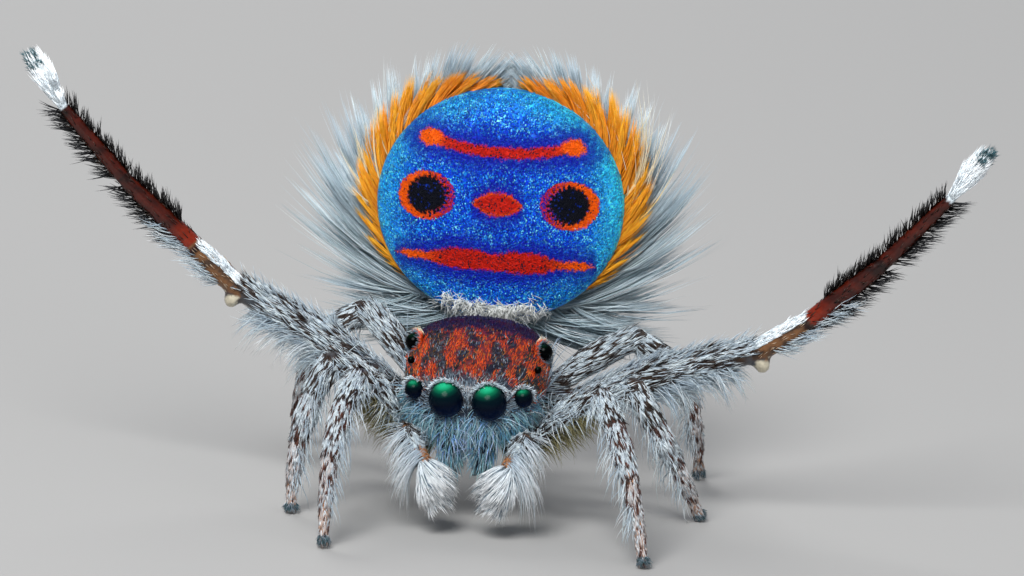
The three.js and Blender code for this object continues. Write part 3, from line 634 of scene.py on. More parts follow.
def fan_marks(x, z):
    """The distance into each red form: brow, its bulb, mouth, lens and the ring of a spot."""
    out = np.abs(x)
    rise = BROW["end_height"] - BROW["middle_height"]
    brow = BROW["thick"] - np.abs(z - (BROW["middle_height"] + rise * (out / BROW["end"]) ** 2))
    brow = np.where(out < BROW["end"], brow, -1)
    bulb = oval(out - BROW["end"], z - BROW["end_height"], BROW["bulb"])
    wide = MOUTH["thin"] * (1 - step(out, *MOUTH["thin_to"]))
    wide = wide + MOUTH["thick"] * (1 - step(out, *MOUTH["wide_to"]))
    notch = MOUTH["notch"] * np.exp(-((x / MOUTH["notch_wide"]) ** 2))
    lower = z - MOUTH["height"]
    mouth = np.where(out < MOUTH["end"], np.minimum(wide - lower - notch, wide + lower), -1)
    lens = LENS["half"][1] * (1 - (out / LENS["half"][0]) ** 2) - np.abs(z - LENS["at"][1])
    lens = np.where(out < LENS["half"][0], lens, -1)
    ring = oval(out - SPOT["at"][0] - SPOT["ring_shift"], z - SPOT["at"][1], SPOT["ring"])
    return brow, bulb, mouth, lens, ring


def fan_red(bulb, lens, out, random):
    """Red that turns orange outward, with black scales strewn in it."""
    warm = np.clip(step(out, 0.5, 0.95) * 0.9 + step(bulb, -0.02, 0.05), 0, 1)
    lens_rim = step(lens, 0.055, 0.0) * (lens > 0)
    warm = np.clip(np.clip(warm + 0.5 * lens_rim, 0, 1) * (0.65 + 0.5 * random), 0, 1)
    dots = random_of(6, len(out)) < BLACK_SHARE * (1 - warm)
    return np.where(dots[:, None], FAN_BLACK * 3, mix(FAN_RED, FAN_ORANGE, warm))


def fan_colour(x, z, random):
    """The colour of the fan at each place, with a random number from 0 to 1 for each."""
    places = np.stack([x, z, np.zeros(len(x))], -1)
    ragged = smooth_noise(places, RAGGED["size"], 5) * RAGGED["noise"] + (random - 0.5) * RAGGED["grain"]
    patch = smooth_noise(places, 0.5, 9)
    base = fan_ground(x, z, random, patch)
    brow, bulb, mouth, lens, ring = fan_marks(x, z)
    red = np.max([brow, bulb, mouth, lens, np.where(ring > 0, ring, -1)], axis=0)

    # deep blue close round the red forms
    halo = step(red + ragged * 3 + 0.03 * patch, HALO["from"], HALO["to"])
    base = mix(base, FAN_DEEP, halo * HALO["strength"])

    # the red forms; the ring of a spot is thin and broken on its inner side
    out = np.abs(x)
    dx, dz = out - SPOT["at"][0], z - SPOT["at"][1]
    outer = step(dx + 0.25 * np.abs(dz), -0.24, 0.08)
    thin_ring = (ring > 0) & (brow < 0) & (mouth < 0)
    fade = np.where(thin_ring, np.clip(outer + 0.9 * (random > 0.3), 0, 1), 1.0)
    inside = step(red + ragged, -BORDER, BORDER)
    base = mix(base, fan_red(bulb, lens, out, random), inside * fade)

    # the black spots, with ragged edges and a few blue scales
    black = oval(dx, dz, SPOT["black"])
    tick = SPOT_TICKS["outer"] + SPOT_TICKS["inner"] * (dx < 0)
    ticks = np.sin(np.arctan2(dz, dx) * SPOT_TICKS["count"]) * tick
    base = mix(base, FAN_BLACK, step(black + ticks + ragged * 0.6, -0.01, 0.015))
    speck = (random_of(4, len(x)) < SPECK_SHARE) & (black > 0.0)
    return np.where(speck[:, None], FAN_BLUE * 0.5, base)


def fan_depth(x, z, back=False):
    """Y of the fan's surface in its own frame."""
    depth = (1 - np.clip(fan_share(x, z), 0, 1) ** FAN_DOMED) ** (1 / FAN_DOMED)
    return depth * FAN_BACK if back else -depth * FAN_FRONT


def in_fan(angle, share):
    """x and z of a place on the fan from its angle and its share of the way to the rim."""
    return np.sin(angle) * share * FAN_HALF[0], np.cos(angle) * share * FAN_HALF[1]


def fan_chart(x, z):
    cx, cy = CHART["fan"]
    u = cx + CHART_MARGIN + (x / FAN_HALF[0] * 0.5 + 0.5) * CHART_SIZE
    v = cy + CHART_MARGIN + (z / FAN_HALF[1] * 0.5 + 0.5) * CHART_SIZE
    return np.stack([u, v], -1)


SHIELD_RINGS = 38
SHIELD_AROUND = 160


def build_shield():
    """The fan's shield: a front dome and a flatter back, from rings round its middle."""
    shares = np.sin(np.linspace(0.004, 0.5, SHIELD_RINGS) * math.pi)
    angle = np.linspace(0, TAU, SHIELD_AROUND, endpoint=False)
    rings = []
    for back, row in ((False, shares), (True, shares[:-1][::-1])):
        for share in row:
            x, z = in_fan(angle, share)
            rings.append(np.stack([x, fan_depth(x, z, back), z], -1))
    local = np.concatenate(rings)
    faces, sizes = tube_faces(len(rings), SHIELD_AROUND)
    colours = fan_colour(local[:, 0], local[:, 2], random_of(8, len(local)))
    colours[SHIELD_RINGS * SHIELD_AROUND:] = PALE_GREY * 0.6
    uv = fan_chart(local[faces, 0], local[faces, 2])
    points = placed(local, FAN_FRAME)
    obj = mesh_object("fan_shield", points, faces, sizes, colours, uv, SHIELD, "fan_scales")
    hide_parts("fan")


def tube_faces(rows, around):
    """The quads of a stack of rings, closed at both ends by one face each."""
    i = np.arange(around)
    j = (i + 1) % around
    quads = []
    for row in range(rows - 1):
        a, b = row * around, (row + 1) * around
        quads.append(np.stack([a + i, a + j, b + j, b + i], -1))
    quads = np.concatenate(quads)
    caps = [i[::-1], (rows - 1) * around + i]
    flat = np.concatenate([quads.ravel(), *caps])
    sizes = np.concatenate([np.full(len(quads), 4), [around, around]])
    return flat, sizes


# The scales of the fan: tilt, and how much their way, tilt and roll are spread
FAN_SCALE_COUNT = 29000
FAN_SCALE = {
    "length": 0.032, "width": 0.023, "thick": 0.005, "tilt": 0.10, "above": 0.002, "map": 0.003,
    "way_spread": (0.22, 0.2), "tilt_spread": 0.16, "roll_spread": 0.20, "sizes": (0.8, 1.2),
}
SCALE_FACES = ((0, 1, 4), (1, 2, 4), (2, 3, 4), (3, 0, 4), (0, 3, 1), (1, 3, 2))
SCALE_MAP = ((-0.5, 0), (0, -0.5), (0.5, 0), (0, 0.5), (0, 0))
SLOPE_STEP = 0.01


def fan_normal(x, z):
    e = SLOPE_STEP
    slope_x = (fan_depth(x + e, z) - fan_depth(x - e, z)) / (2 * e)
    slope_z = (fan_depth(x, z + e) - fan_depth(x, z - e)) / (2 * e)
    return unit(np.stack([slope_x, -np.ones(len(x)), slope_z], -1))


def build_fan_scales():
    """Tiny overlapping scales all over the front of the fan, each a low pyramid on a lozenge."""
    n = FAN_SCALE_COUNT
    share = np.sqrt(rng.random(n)) * 0.985
    x, z = in_fan(rng.uniform(0, TAU, n), share)
    normal = fan_normal(x, z)
    spread_x, spread_z = FAN_SCALE["way_spread"]
    way = [0.35 * x + rng.normal(0, spread_x, n), np.zeros(n), np.ones(n) + rng.normal(0, spread_z, n)]
    way = unit(np.stack(way, -1))
    long = unit(way - normal * np.sum(way * normal, -1, keepdims=True))
    long = unit(long + normal * (FAN_SCALE["tilt"] + rng.normal(0, FAN_SCALE["tilt_spread"], n))[:, None])
    wide = unit(np.cross(long, normal) + normal * rng.normal(0, FAN_SCALE["roll_spread"], n)[:, None])
    up = unit(np.cross(wide, long))
    size = rng.uniform(*FAN_SCALE["sizes"], n)[:, None]
    half_long, half_wide = long * FAN_SCALE["length"] / 2 * size, wide * FAN_SCALE["width"] / 2 * size
    base = np.stack([x, fan_depth(x, z), z], -1) + normal * FAN_SCALE["above"]
    corners = [base - half_long, base + half_wide, base + half_long, base - half_wide]
    corners.append(base + up * FAN_SCALE["thick"])
    local = np.stack(corners, 1).reshape(-1, 3)
    first = np.arange(n)[:, None, None] * len(corners)
    faces = (first + np.array(SCALE_FACES)).reshape(-1)
    sizes = np.full(n * len(SCALE_FACES), 3)
    colours = np.repeat(fan_colour(x, z, rng.random(n)), len(corners), axis=0)
    patch = np.array(SCALE_MAP) * FAN_SCALE["map"]
    uv = np.repeat(fan_chart(x, z), len(corners), axis=0) + np.tile(patch, (n, 1))
    points = placed(local, FAN_FRAME)
    mesh_object("fan_scales", points, faces, sizes, colours, uv[faces], SCALES, "fan_scales")


# The skin: every form of the flesh in one closed surface
SKIN_VOXEL = 0.036
SKIN_SOFTEN = {"iterations": 3, "factor": 0.5}


def skin_colour(points):
    """The colour of bare skin at each point and the name of the form it belongs to."""
    names = list(forms)
    best = np.full(len(points), 1e9)
    owner = np.zeros(len(points), int)
    for i, name in enumerate(names):
        distance = np.abs(forms[name].local(points)[2])
        closer = distance < best
        best[closer] = distance[closer]
        owner[closer] = i
    colours = np.tile(MID_GREY, (len(points), 1))
    for i, name in enumerate(names):
        mask = owner == i
        if not mask.any():
            continue
        t, phi = forms[name].local(points[mask])[:2]
        colours[mask] = form_colour(name, t, phi, points[mask])
    return colours, owner, names


def form_colour(name, t, phi, points):
    """The colour of the skin of one form."""
    noise = smooth_noise(points, 0.16, 21)[:, None] * 0.5 + 0.5
    if name == "head":
        back = mix(head_colour(points, np.full(len(t), 0.5)) * 0.3, NAVY * 0.5, 0.5)
        return mix(back, FACE_SHADE, below_eyes(points, t, phi))
    if name.startswith("jaw"):
        return FACE_SHADE * (0.6 + 0.6 * noise)
    if name.startswith("leg3_swelling"):
        return PALE_SKIN * (0.75 + 0.35 * noise)
    if name.startswith("leg3"):
        if "tibia" in name or "metatarsus" in name:
            ends = 1 - step(t, 0.0, 0.06) * (1 - step(t, 0.86, 1.0))
            base = mix(MAHOGANY, MAHOGANY_DARK, np.clip(0.75 * noise[:, 0] + 0.7 * ends, 0, 0.95))
            # a painted highlight near the base of the shin
            painted_highlight = (1 - step(t, 0.1, 0.42)) * step(t, 0.02, 0.08) if "tibia" in name else np.zeros(len(t))
            return mix(base, MAHOGANY_PAINTED_HIGHLIGHT, painted_highlight * 0.6)
        if "patella" in name:
            return mix(TAN * 0.5, FLECK_BROWN, step(noise[:, 0], 0.3, 0.7))
        if "tarsus" in name:
            return WHITE * (0.8 + 0.2 * noise)
    if name.startswith(("palp_tibia", "palp_patella")):
        return TAN * (0.7 + 0.5 * noise)
    if "tarsus" in name and name.startswith("leg"):
        return FOOT_ORANGE * (0.6 + 0.4 * noise)
    if name.startswith("fang"):
        return MAHOGANY_DARK * np.ones((len(t), 1))
    if name == "abdomen" or name.startswith("spinneret"):
        return mix(MID_GREY, BLUE_GREY, noise) * 0.7
    return mix(MID_GREY, FLECK_BROWN, noise) * 0.8


def remeshed(points, faces, sizes):
    """The skin as one closed surface: its points, the corners of its faces and their corner counts."""
    holder = bpy.data.objects.new("rough", plain_mesh("rough", points, faces, sizes))
    link(holder)
    remesh = holder.modifiers.new("remesh", "REMESH")
    remesh.mode = "VOXEL"
    remesh.voxel_size = SKIN_VOXEL
    soften = holder.modifiers.new("soften", "SMOOTH")
    soften.iterations = SKIN_SOFTEN["iterations"]
    soften.factor = SKIN_SOFTEN["factor"]
    done = bpy.data.meshes.new_from_object(holder.evaluated_get(bpy.context.evaluated_depsgraph_get()))
    bpy.data.objects.remove(holder)
    out = []
    for items, key, width, kind in (
        (done.vertices, "co", 3, np.float32), (done.loops, "vertex_index", 1, np.int32),
        (done.polygons, "loop_total", 1, np.int32),
    ):
        values = np.zeros(len(items) * width, kind)
        items.foreach_get(key, values)
        out.append(values)
    bpy.data.meshes.remove(done)
    return out[0].reshape(-1, 3).astype(float), out[1], out[2]


def build_skin():
    points, faces, sizes, count = [], [], [], 0
    for form in forms.values():
        shell = form.shell()
        form_faces, form_sizes = tube_faces(*shell.shape[:2])
        points.append(shell.reshape(-1, 3))
        faces.append(form_faces + count)
        sizes.append(form_sizes)
        count += len(points[-1])
    places, corners, totals = remeshed(np.concatenate(points), np.concatenate(faces), np.concatenate(sizes))
    colours, owner, names = skin_colour(places)
    first = np.repeat(corners[starts(totals)], totals)
    face_owner = owner[first]
    uv = np.zeros((len(corners), 2))
    for i, name in enumerate(names):
        mask = face_owner == i
        if not mask.any():
            continue
        t, phi = forms[name].local(places[corners[mask]])[:2]
        lead = forms[name].local(places[first[mask]])[1]
        uv[mask] = on_chart(name, t, lead + (phi - lead + math.pi) % TAU - math.pi)
    obj = mesh_object("skin", places, corners, totals, colours, uv, SKIN, "grey_coat")
    kept = {"fan", *(f"{eye}_{side_name}" for eye in EYES for side_name in SIDES)}
    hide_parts(*(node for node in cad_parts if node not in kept))


# Coats: each strand is a thin closed spike of three sides that tapers and bends
coats = {}
ALL_ROUND = (-math.pi, math.pi)
UPPER = (-math.pi * 0.30, math.pi * 0.30)
UNDER = (math.pi * 0.66, math.pi * 1.34)
PATCH = 0.003
LOWEST = 0.004
STRAND_CORNERS = (90, 210, 330)
STRAND_TAPER = 1.7
STRAND_ROOT = 0.75
STRAND_SINK = 0.015
SEED_TRIES = 5
SEED_ENDS = (0.003, 0.997)
SEED_STEP = 0.002


def strands(piece, chart, places, root, lie, pull, length, width, bend, colours, steps=3):
    """Adds strands to a piece.

    places are two chart coordinates, lie the way they start, pull the way they bend, colours root and tip.
    """
    n = len(root)
    lie = unit(lie)
    pull = unit(pull - lie * np.sum(pull * lie, -1, keepdims=True))
    length, width, bend = (np.broadcast_to(v, n).astype(float) for v in (length, width, bend))
    colour, tip_colour = (np.broadcast_to(c, (n, 3)) for c in colours)
    side = np.cross(lie, pull)
    points, paints = [], []
    shares = np.arange(steps) / steps
    for s in shares:
        run = (s * (length + STRAND_SINK) - STRAND_SINK)[:, None]
        middle = root + lie * run + pull * (bend * length * s * s)[:, None]
        along = unit(lie + pull * (2 * bend * s)[:, None])
        out = np.cross(side, along)
        swell = STRAND_ROOT + (1 - STRAND_ROOT) * min(1.0, 4 * s)
        half = (width * 0.5 * (1 - s**STRAND_TAPER) * swell)[:, None]
        for a in np.radians(STRAND_CORNERS):
            points.append(middle + side * (math.cos(a) * half) + out * (math.sin(a) * half))
        paints.append(mix(colour, tip_colour, s))
    points.append(root + lie * length[:, None] + pull * (bend * length)[:, None])
    stack = np.stack(points, 1)
    stack[:, :, 2] = np.maximum(stack[:, :, 2], LOWEST)
    paint = np.repeat(np.stack(paints, 1), 3, axis=1)
    paint = np.concatenate([paint, tip_colour[:, None]], 1)
    base_uv = fan_chart(*places) if chart == "fan" else on_chart(chart, *places)
    offsets = [((k - 1) * PATCH / 3, (s - 0.5) * PATCH) for s in shares for k in range(3)]
    offsets.append((0, PATCH / 2))
    uv = base_uv[:, None, :] + np.array(offsets)[None]
    coats.setdefault(piece, {}).setdefault(steps, []).append((stack, paint, uv))


def strand_faces(steps):
    faces, sizes = [0, 2, 1], [3]
    for row in range(steps - 1):
        for k in range(3):
            a, b = 3 * row + k, 3 * row + (k + 1) % 3
            faces += [a, b, b + 3, a + 3]
            sizes.append(4)
    last = 3 * (steps - 1)
    for k in range(3):
        faces += [last + k, last + (k + 1) % 3, 3 * steps]
        sizes.append(3)
    return np.array(faces), np.array(sizes)


def finish_coats():
    """Joins the strands of each piece into one mesh."""
    for piece, kinds in coats.items():
        points, paints, uvs, faces, sizes, count = [], [], [], [], [], 0
        for steps, batches in kinds.items():
            pattern, pattern_sizes = strand_faces(steps)
            stack, paint, uv = (np.concatenate(arrays) for arrays in zip(*batches))
            n, size = stack.shape[:2]
            corner = (np.arange(n) * size)[:, None] + pattern[None]
            points.append(stack.reshape(-1, 3))
            paints.append(paint.reshape(-1, 3))
            uvs.append(uv.reshape(-1, 2)[corner.ravel()])
            faces.append(corner.ravel() + count)
            sizes.append(np.tile(pattern_sizes, n))
            count += n * size
        material, slot = coat_look(piece)
        arrays = (np.concatenate(rows) for rows in (points, faces, sizes, paints, uvs))
        mesh_object(piece, *arrays, material, slot)


def coat_look(piece):
    """The material of a piece of coat, and the name of a slot."""
    if piece.startswith("bristles"):
        return BLACK_HAIR, "red_brown_coat"
    if piece.startswith("fringe"):
        return HAIR, "white_coat"
    return HAIR, "grey_coat"


def hashed(a, b, seed):
    """A number from 0 to 1 that is the same for the same pair of cells."""
    value = np.sin(a * 127.1 + b * 311.7 + seed * 74.7) * 43758.5453
    return value - np.floor(value)


def seeds(form, count, t_range=(0.0, 1.0), phi_range=ALL_ROUND):
    """Random places on a form, spread evenly over its true surface."""
    tries = count * SEED_TRIES
    u = rng.random(tries)
    share = np.where(rng.random(tries) < 0.5, u, u * u)
    t = np.clip(t_range[0] + (t_range[1] - t_range[0]) * share, *SEED_ENDS)
    phi = rng.uniform(*phi_range, tries)
    density = 0.5 + 0.25 / np.sqrt(np.maximum(share, 1e-6))
    e = SEED_STEP
    down = form.point(t + e, phi) - form.point(t - e, phi)
    around = form.point(t, phi + e) - form.point(t, phi - e)
    weight = np.linalg.norm(np.cross(down, around), axis=1) / density
    chosen = rng.choice(tries, count, replace=False, p=weight / weight.sum())
    return t[chosen], phi[chosen]


def facing(name, way, least):
    """Keeps the places of a form whose surface faces some way."""
    way = unit(vec(*way))
    return lambda point, t, phi: forms[name].normal(t, phi) @ way > least


def one_side(sign, low, high):
    """A range of phi on the side of a form that the sign picks."""
    return (low, high) if sign > 0 else (-high, -low)


# How a tuft differs from the next: where its middle lies in its cell, its length, lift and way; and how much
# single hairs differ in lift and bend
TUFT_PLACE = (0.2, 0.6)
TUFT_LENGTH = (0.8, 0.4)
TUFT_LIFT = 10
TUFT_WAY = 0.22
HAIR_LIFT = 4
HAIR_BEND = (0.5, 1.5)


def style(count, length, width, lift, **more):
    """A kind of hair: how many, from which to which length, how wide, and lifted by how many degrees."""
    return dict(count=count, length=length, width=width, lift=lift, **more)


ARM = dict(tuft=0.07, gather=0.5, stray=0.12)
ARCH = dict(tuft=0.10, gather=0.8, stray=0.12, pull=DOWN, steps=6)
FACE = dict(tuft=0.12, gather=0.45, bend=0.8, pull=DOWN, steps=4, t_range=(0.0, 0.34))
COMB = dict(tuft=0.08, gather=0.45, stray=0.10)
KNEE = dict(gather=0.2)

# Every kind of hair. The first four numbers are those of style(), the others are explained at grow().
KINDS = {
    "head": style(10500, (0.075, 0.115), 0.0145, 15, tuft=0.045, gather=0.4, stray=0.13, sign=-1),
    "over_eyes": style(1300, (0.08, 0.14), 0.011, 22, tuft=0.06, gather=0.3, stray=0.25, sign=-1),
    "pale_edge": style(1500, (0.09, 0.15), 0.014, 14, t_range=(0.50, 0.80)),
    "flank": style(330, (0.28, 0.44), 0.012, 46, t_range=(0.42, 0.96), tuft=0.12, gather=0.4, stray=0.2,
                   steps=4, bend=0.5, pull=DOWN),
    "navy": style(900, (0.10, 0.15), 0.015, 52, t_range=(0.52, 0.72), tuft=0.05, gather=0.3, stray=0.2,
                  sign=-1),
    "face": style(1150, (0.10, 0.22), 0.0105, 18, stray=0.45, **FACE),
    "face_long": style(520, (0.22, 0.36), 0.011, 34, stray=0.7, **FACE),
    "jaw": style(420, (0.06, 0.12), 0.010, 26, t_range=(0.0, 0.85), stray=0.5, steps=3, bend=0.5, pull=DOWN),
    "jaw_long": style(90, (0.14, 0.24), 0.010, 40, t_range=(0.0, 0.7), stray=0.6, steps=4, bend=0.7,
                      pull=DOWN),
    "jaw_tip": style(190, (0.12, 0.20), 0.010, 24, t_range=(0.62, 1.0), stray=0.35, steps=3, bend=0.3,
                     pull=DOWN),
    "palp_femur": style(620, (0.07, 0.12), 0.014, 14, **ARM),
    "palp_patella": style(520, (0.07, 0.12), 0.014, 14, **ARM),
    "palp_tibia": style(240, (0.04, 0.07), 0.012, 14, **ARM),
    "palp_knee": style(130, (0.07, 0.12), 0.014, 30, t_range=(0, 0.35), **ARM),
    "palp_brush": dict(count=520, width=0.0135, lift=58, tuft=0.05, gather=0.45, stray=0.07, steps=4,
                       bend=0.44),
    "palp_arch_femur": style(60, (0.24, 0.34), 0.013, 30, bend=0.7, **ARCH),
    "palp_arch_patella": style(70, (0.24, 0.36), 0.013, 30, bend=0.8, **ARCH),
    "palp_arch_tibia": style(110, (0.36, 0.48), 0.013, 30, bend=0.9, **ARCH),
    "leg": dict(width=0.0165, lift=7, tuft=0.06, gather=0.35, stray=0.05),
    "leg_fringe": dict(width=0.012, lift=42, tuft=0.12, gather=0.55, stray=0.22, bend=0.55, steps=3),
    "olive": style(260, (0.16, 0.30), 0.012, 40, t_range=(0.0, 0.75), phi_range=UNDER, stray=0.25, bend=0.5,
                   pull=DOWN, steps=3),
    "claw": style(110, (0.05, 0.09), 0.013, 38, t_range=(0.80, 1.0), tuft=0.04, gather=0.1, stray=0.25,
                  bend=0.4),
    "raised": dict(length=(0.10, 0.16), width=0.0155, lift=9, tuft=0.09, gather=0.6),
    "raised_under": dict(width=0.012, lift=50, phi_range=UNDER, tuft=0.12, gather=0.6, stray=0.12, bend=0.4,
                         steps=4),
    "thigh_locks": style(200, (0.30, 0.42), 0.0135, 48, t_range=(0.42, 0.84), phi_range=UNDER, tuft=0.15,
                         gather=1.2, stray=0.03, bend=0.45, pull=DOWN, steps=5),
    "thigh_top": style(260, (0.14, 0.22), 0.012, 38, phi_range=UPPER, gather=0.6, steps=3, bend=0.2),
    "knee_stripe": style(2000, (0.08, 0.12), 0.022, 9, **KNEE),
    "knee_dark": style(200, (0.05, 0.08), 0.014, 12, **KNEE),
    "knee_tan": style(90, (0.04, 0.07), 0.013, 8, **KNEE),
    "comb_upper": style(150, (0.12, 0.22), 0.017, 46, phi_range=(-0.50, 0.50), **COMB),
    "comb_under": style(165, (0.16, 0.29), 0.015, 48, t_range=(0.08, 1.0),
                        phi_range=(math.pi - 0.55, math.pi + 0.55), **COMB),
    "comb_round": style(90, (0.06, 0.12), 0.012, 24, **COMB),
    "brush": style(2600, (0.12, 0.18), 0.021, 17, tuft=0.08, gather=0.25, t_range=(0.0, 0.80), stray=0.05,
                   bend=0.35),
    "brush_claw": style(700, (0.07, 0.11), 0.015, 34, t_range=(0.72, 1.0), tuft=0.05, gather=0.2, stray=0.2),
    "abdomen": style(6500, (0.13, 0.22), 0.017, 13, t_range=(0.28, 1.0), tuft=0.14, gather=0.5, bend=0.2),
    "abdomen_long": style(620, (0.42, 0.66), 0.018, 40, t_range=(0.10, 0.50), tuft=0.16, gather=0.6,
                          stray=0.12, steps=4, bend=0.45),
}


def coat(piece, name, kind, paint, **more):
    """Hair of one kind over a form."""
    grow(piece, forms[name], name, paint, **(KINDS[kind] | more))


def grow(piece, form, name, paint, count, length, width, lift, t_range=(0.0, 1.0), phi_range=ALL_ROUND,
         tuft=0.10, gather=0.6, stray=0.08, bend=0.12, pull=None, steps=2, lean=None, keep=None, sign=1):
    """Hair over a form: it lies along it, lifted by an angle, and gathers in tufts.

    paint gives the colours of root and tip from the places; tuft is the size of a tuft, gather how much it
    draws together and stray how much its hairs differ; pull is a way for the tips to bend, or none for back
    toward the surface; lean is a way added to the lie; keep picks the places; sign -1 turns it frontward.
    """
    t, phi = seeds(form, count, t_range, phi_range)
    point = form.point(t, phi)
    if keep is not None:
        chosen = keep(point, t, phi)
        t, phi, point = t[chosen], phi[chosen], point[chosen]
    n = len(t)
    long, round_ = form.spans()
    row, column = np.floor(t * long / tuft), np.floor(phi * round_ / tuft)
    shift_t, shift_phi, *turns, own_length, own_tone = (hashed(row, column, k) for k in range(1, 8))
    margin, room = TUFT_PLACE
    middle_t = np.clip((row + margin + room * shift_t) * tuft / long, 0, 1)
    middle = form.point(middle_t, (column + margin + room * shift_phi) * tuft / round_)
    own = np.stack(turns, -1) - 0.5
    size = rng.uniform(*length, n) * (TUFT_LENGTH[0] + TUFT_LENGTH[1] * own_length)
    angle = np.radians(lift + rng.normal(0, HAIR_LIFT, n) + TUFT_LIFT * own[:, 0])[:, None]
    along, out = form.tangent(t, phi) * sign, form.normal(t, phi)
    lie = along * np.cos(angle) + out * np.sin(angle)
    lie = lie + (middle - point) * (gather / size)[:, None] + own * TUFT_WAY
    lie = lie + rng.normal(0, stray, (n, 3))
    if lean is not None:
        lie = lie + lean
    colours = paint(point, t, phi, own_tone)
    bending = -out if pull is None else np.tile(pull, (n, 1))
    if piece == "coat_face":
        size = size * clear_of_eyes(point, unit(lie), size)
    bend = bend * rng.uniform(*HAIR_BEND, n)
    strands(piece, name, (t, phi), point, lie, bending, size, width, bend, colours, steps)


def clear_of_eyes(point, lie, size):
    """A share of the length for each strand that keeps it out of the front eyes."""
    share = np.ones(len(point))
    for side in SIDES.values():
        for eye, _ in EYE_RIMS:
            centre, radius = eye_middle(eye, side), EYES[eye][1] * EYE_CLEARANCE
            for part in (1.0, 0.7, 0.4):
                away = np.linalg.norm(point + lie * (size * part)[:, None] - centre, axis=1)
                share = np.where(away < radius, np.minimum(share, part * 0.5), share)
    return share


def fleck_share(form_name, t, phi, seed):
    """Soft noise over a form, drawn out along it, for flecks."""
    long, round_ = forms[form_name].spans()
    offset = (sum(map(ord, form_name)) % 17) * 0.31
    places = np.stack([t * long / 2.0, phi * round_, np.full(len(t), offset)], -1)
    return smooth_noise(places, 0.085, seed)


def white_paint(dim=1.0, blue=0.3):
    """Grey to white hair with a touch of blue."""

    def paint(point, t, phi, tuft):
        n = len(t)
        base = mix(PALE_GREY, WHITE, np.clip(0.25 + 0.6 * tuft + rng.normal(0, 0.25, n), 0, 1))
        base = mix(base, BLUE_GREY, rng.random(n) * blue) * dim
        return base * 0.75, np.minimum(base * 1.2, 0.95)

    return paint


def fleck_paint(name, share, dark=None, warm=None):
    """White scales with dark flecks drawn out along the limb, and warm hair toward its end."""

    def paint(point, t, phi, tuft):
        n = len(t)
        level = fleck_share(name, t, phi, 47) + rng.normal(0, 0.20, n)
        level = level + 0.9 * (1 - step(t, 0.02, 0.12)) + 0.5 * step(t, 0.93, 0.99)
        flecks = step(level, 0.9 - 2 * share, 1.05 - 2 * share)
        pale = mix(PALE_GREY, WHITE, np.clip(0.65 + 0.5 * tuft + rng.normal(0, 0.3, n), 0, 1))
        pale = mix(pale, BLUE_GREY, rng.random(n) ** 2 * 0.3)
        tone = mix(FLECK, FLECK_BROWN if dark is None else dark, rng.random(n))
        out = mix(pale, tone, flecks)
        if warm is not None:
            out = mix(out, FOOT_ORANGE, warm * rng.random(n) * (1 - flecks))
        return out * 0.85, np.minimum(out * 1.12, 0.95)

    return paint


def plain_paint(root, tip=None):
    """One colour with small changes of brightness."""

    def paint(point, t, phi, tuft):
        tone = (rng.uniform(0.75, 1.2, len(t)) * (0.85 + 0.3 * tuft))[:, None]
        return root * tone, np.minimum((root if tip is None else tip) * tone, 0.97)

    return paint


def head_colour(points, random):
    """Red and ochre scales on dark blue behind, grey and white toward the face."""
    p = from_head(points)
    n = len(p)
    y, z = p[:, 1], p[:, 2]
    streak = smooth_noise(p * vec(1.0, 0.32, 0.6), 0.21, 31)
    patch = smooth_noise(p * vec(1.0, 0.7, 1.0), 0.55, 35)
    pick = random_of(17, n)
    grey = mix(BLUE_GREY, PALE_GREY, random)
    dark = mix(SCALE_DARK, BLUE_GREY, step(pick, 0.35, 0.75) * random * 0.42)
    dark = mix(dark, SCALE_OCHRE * 0.5, (pick > 0.58) & (pick < 0.72))
    dark = mix(dark, PALE_GREY, pick > 0.88)
    chance = np.clip(0.50 + 0.95 * streak + 0.30 * patch, 0.06, 0.97) * step(y, -0.90, -0.66)
    warm = mix(SCALE_RED, SCALE_OCHRE, step(random, 0.62, 0.98) * 0.8)
    base = mix(dark, warm, random_of(18, n) < chance)
    rear = step(y + 0.06 * streak, 0.08, 0.20)
    base = mix(base, NAVY * (0.5 + 1.2 * random[:, None] ** 2), rear * 0.96)
    front = 1 - step(y + 0.07 * streak, -0.88, -0.64)
    base = mix(base, mix(grey, SCALE_DARK, pick < 0.25), front * 0.8)
    low_side = 1 - step(z, -0.20, 0.04)
    return mix(base, grey, low_side * 0.9)


def scale_paint(point, t, phi, tuft):
    colour = head_colour(point, rng.random(len(t)))
    return colour * 0.8, np.minimum(colour * 1.25, 0.95)


def face_paint(point, t, phi, tuft):
    tone = mix(FACE_BLUE, FACE_PALE, np.clip(rng.random(len(t)) * 0.8 + 0.3 * tuft, 0, 1))
    tip = mix(tone, WHITE, rng.random(len(t)) ** 2 * 0.7)
    return tone * 0.24, np.minimum(tip * 1.5, 0.97)


# Hair round the eyes: for the front ones how many, for the rear ones how many, from which to which angle,
# how far back, how long, and the colours of root and tip
EYE_CLEARANCE = 1.04
EYE_RIMS = (("eye_front_middle", 330), ("eye_front_side", 130))
REAR_EYE_LOOK = (-0.55, 0.35)
REAR_EYE_RIMS = (
    (240, (-2.8, 0.9), 0.40, (0.05, 0.10), SCALE_RED * 0.4, SCALE_RED),
    (240, (-3.1, 3.1), 0.10, (0.04, 0.09), SCALE_DARK, BLUE_GREY),
    (150, (0.1, 2.6), 0.75, (0.09, 0.13), CREAM * 0.8, CREAM * 1.1),
)
RIM_BEND = 0.3

# Places on the head: over the eyes, under them, the pale line along the side, and the navy scales on top
OVER_EYES = {"y": -0.66, "z": 0.16}
UNDER_EYES = {"y": -0.30, "z": 0.06}
PALE_LINE = {"phi": 1.13, "half_width": 0.10}
NAVY_HALF_WIDTH = 1.0
FACE_SWAYS = (-1.4, 0.0, 1.4)


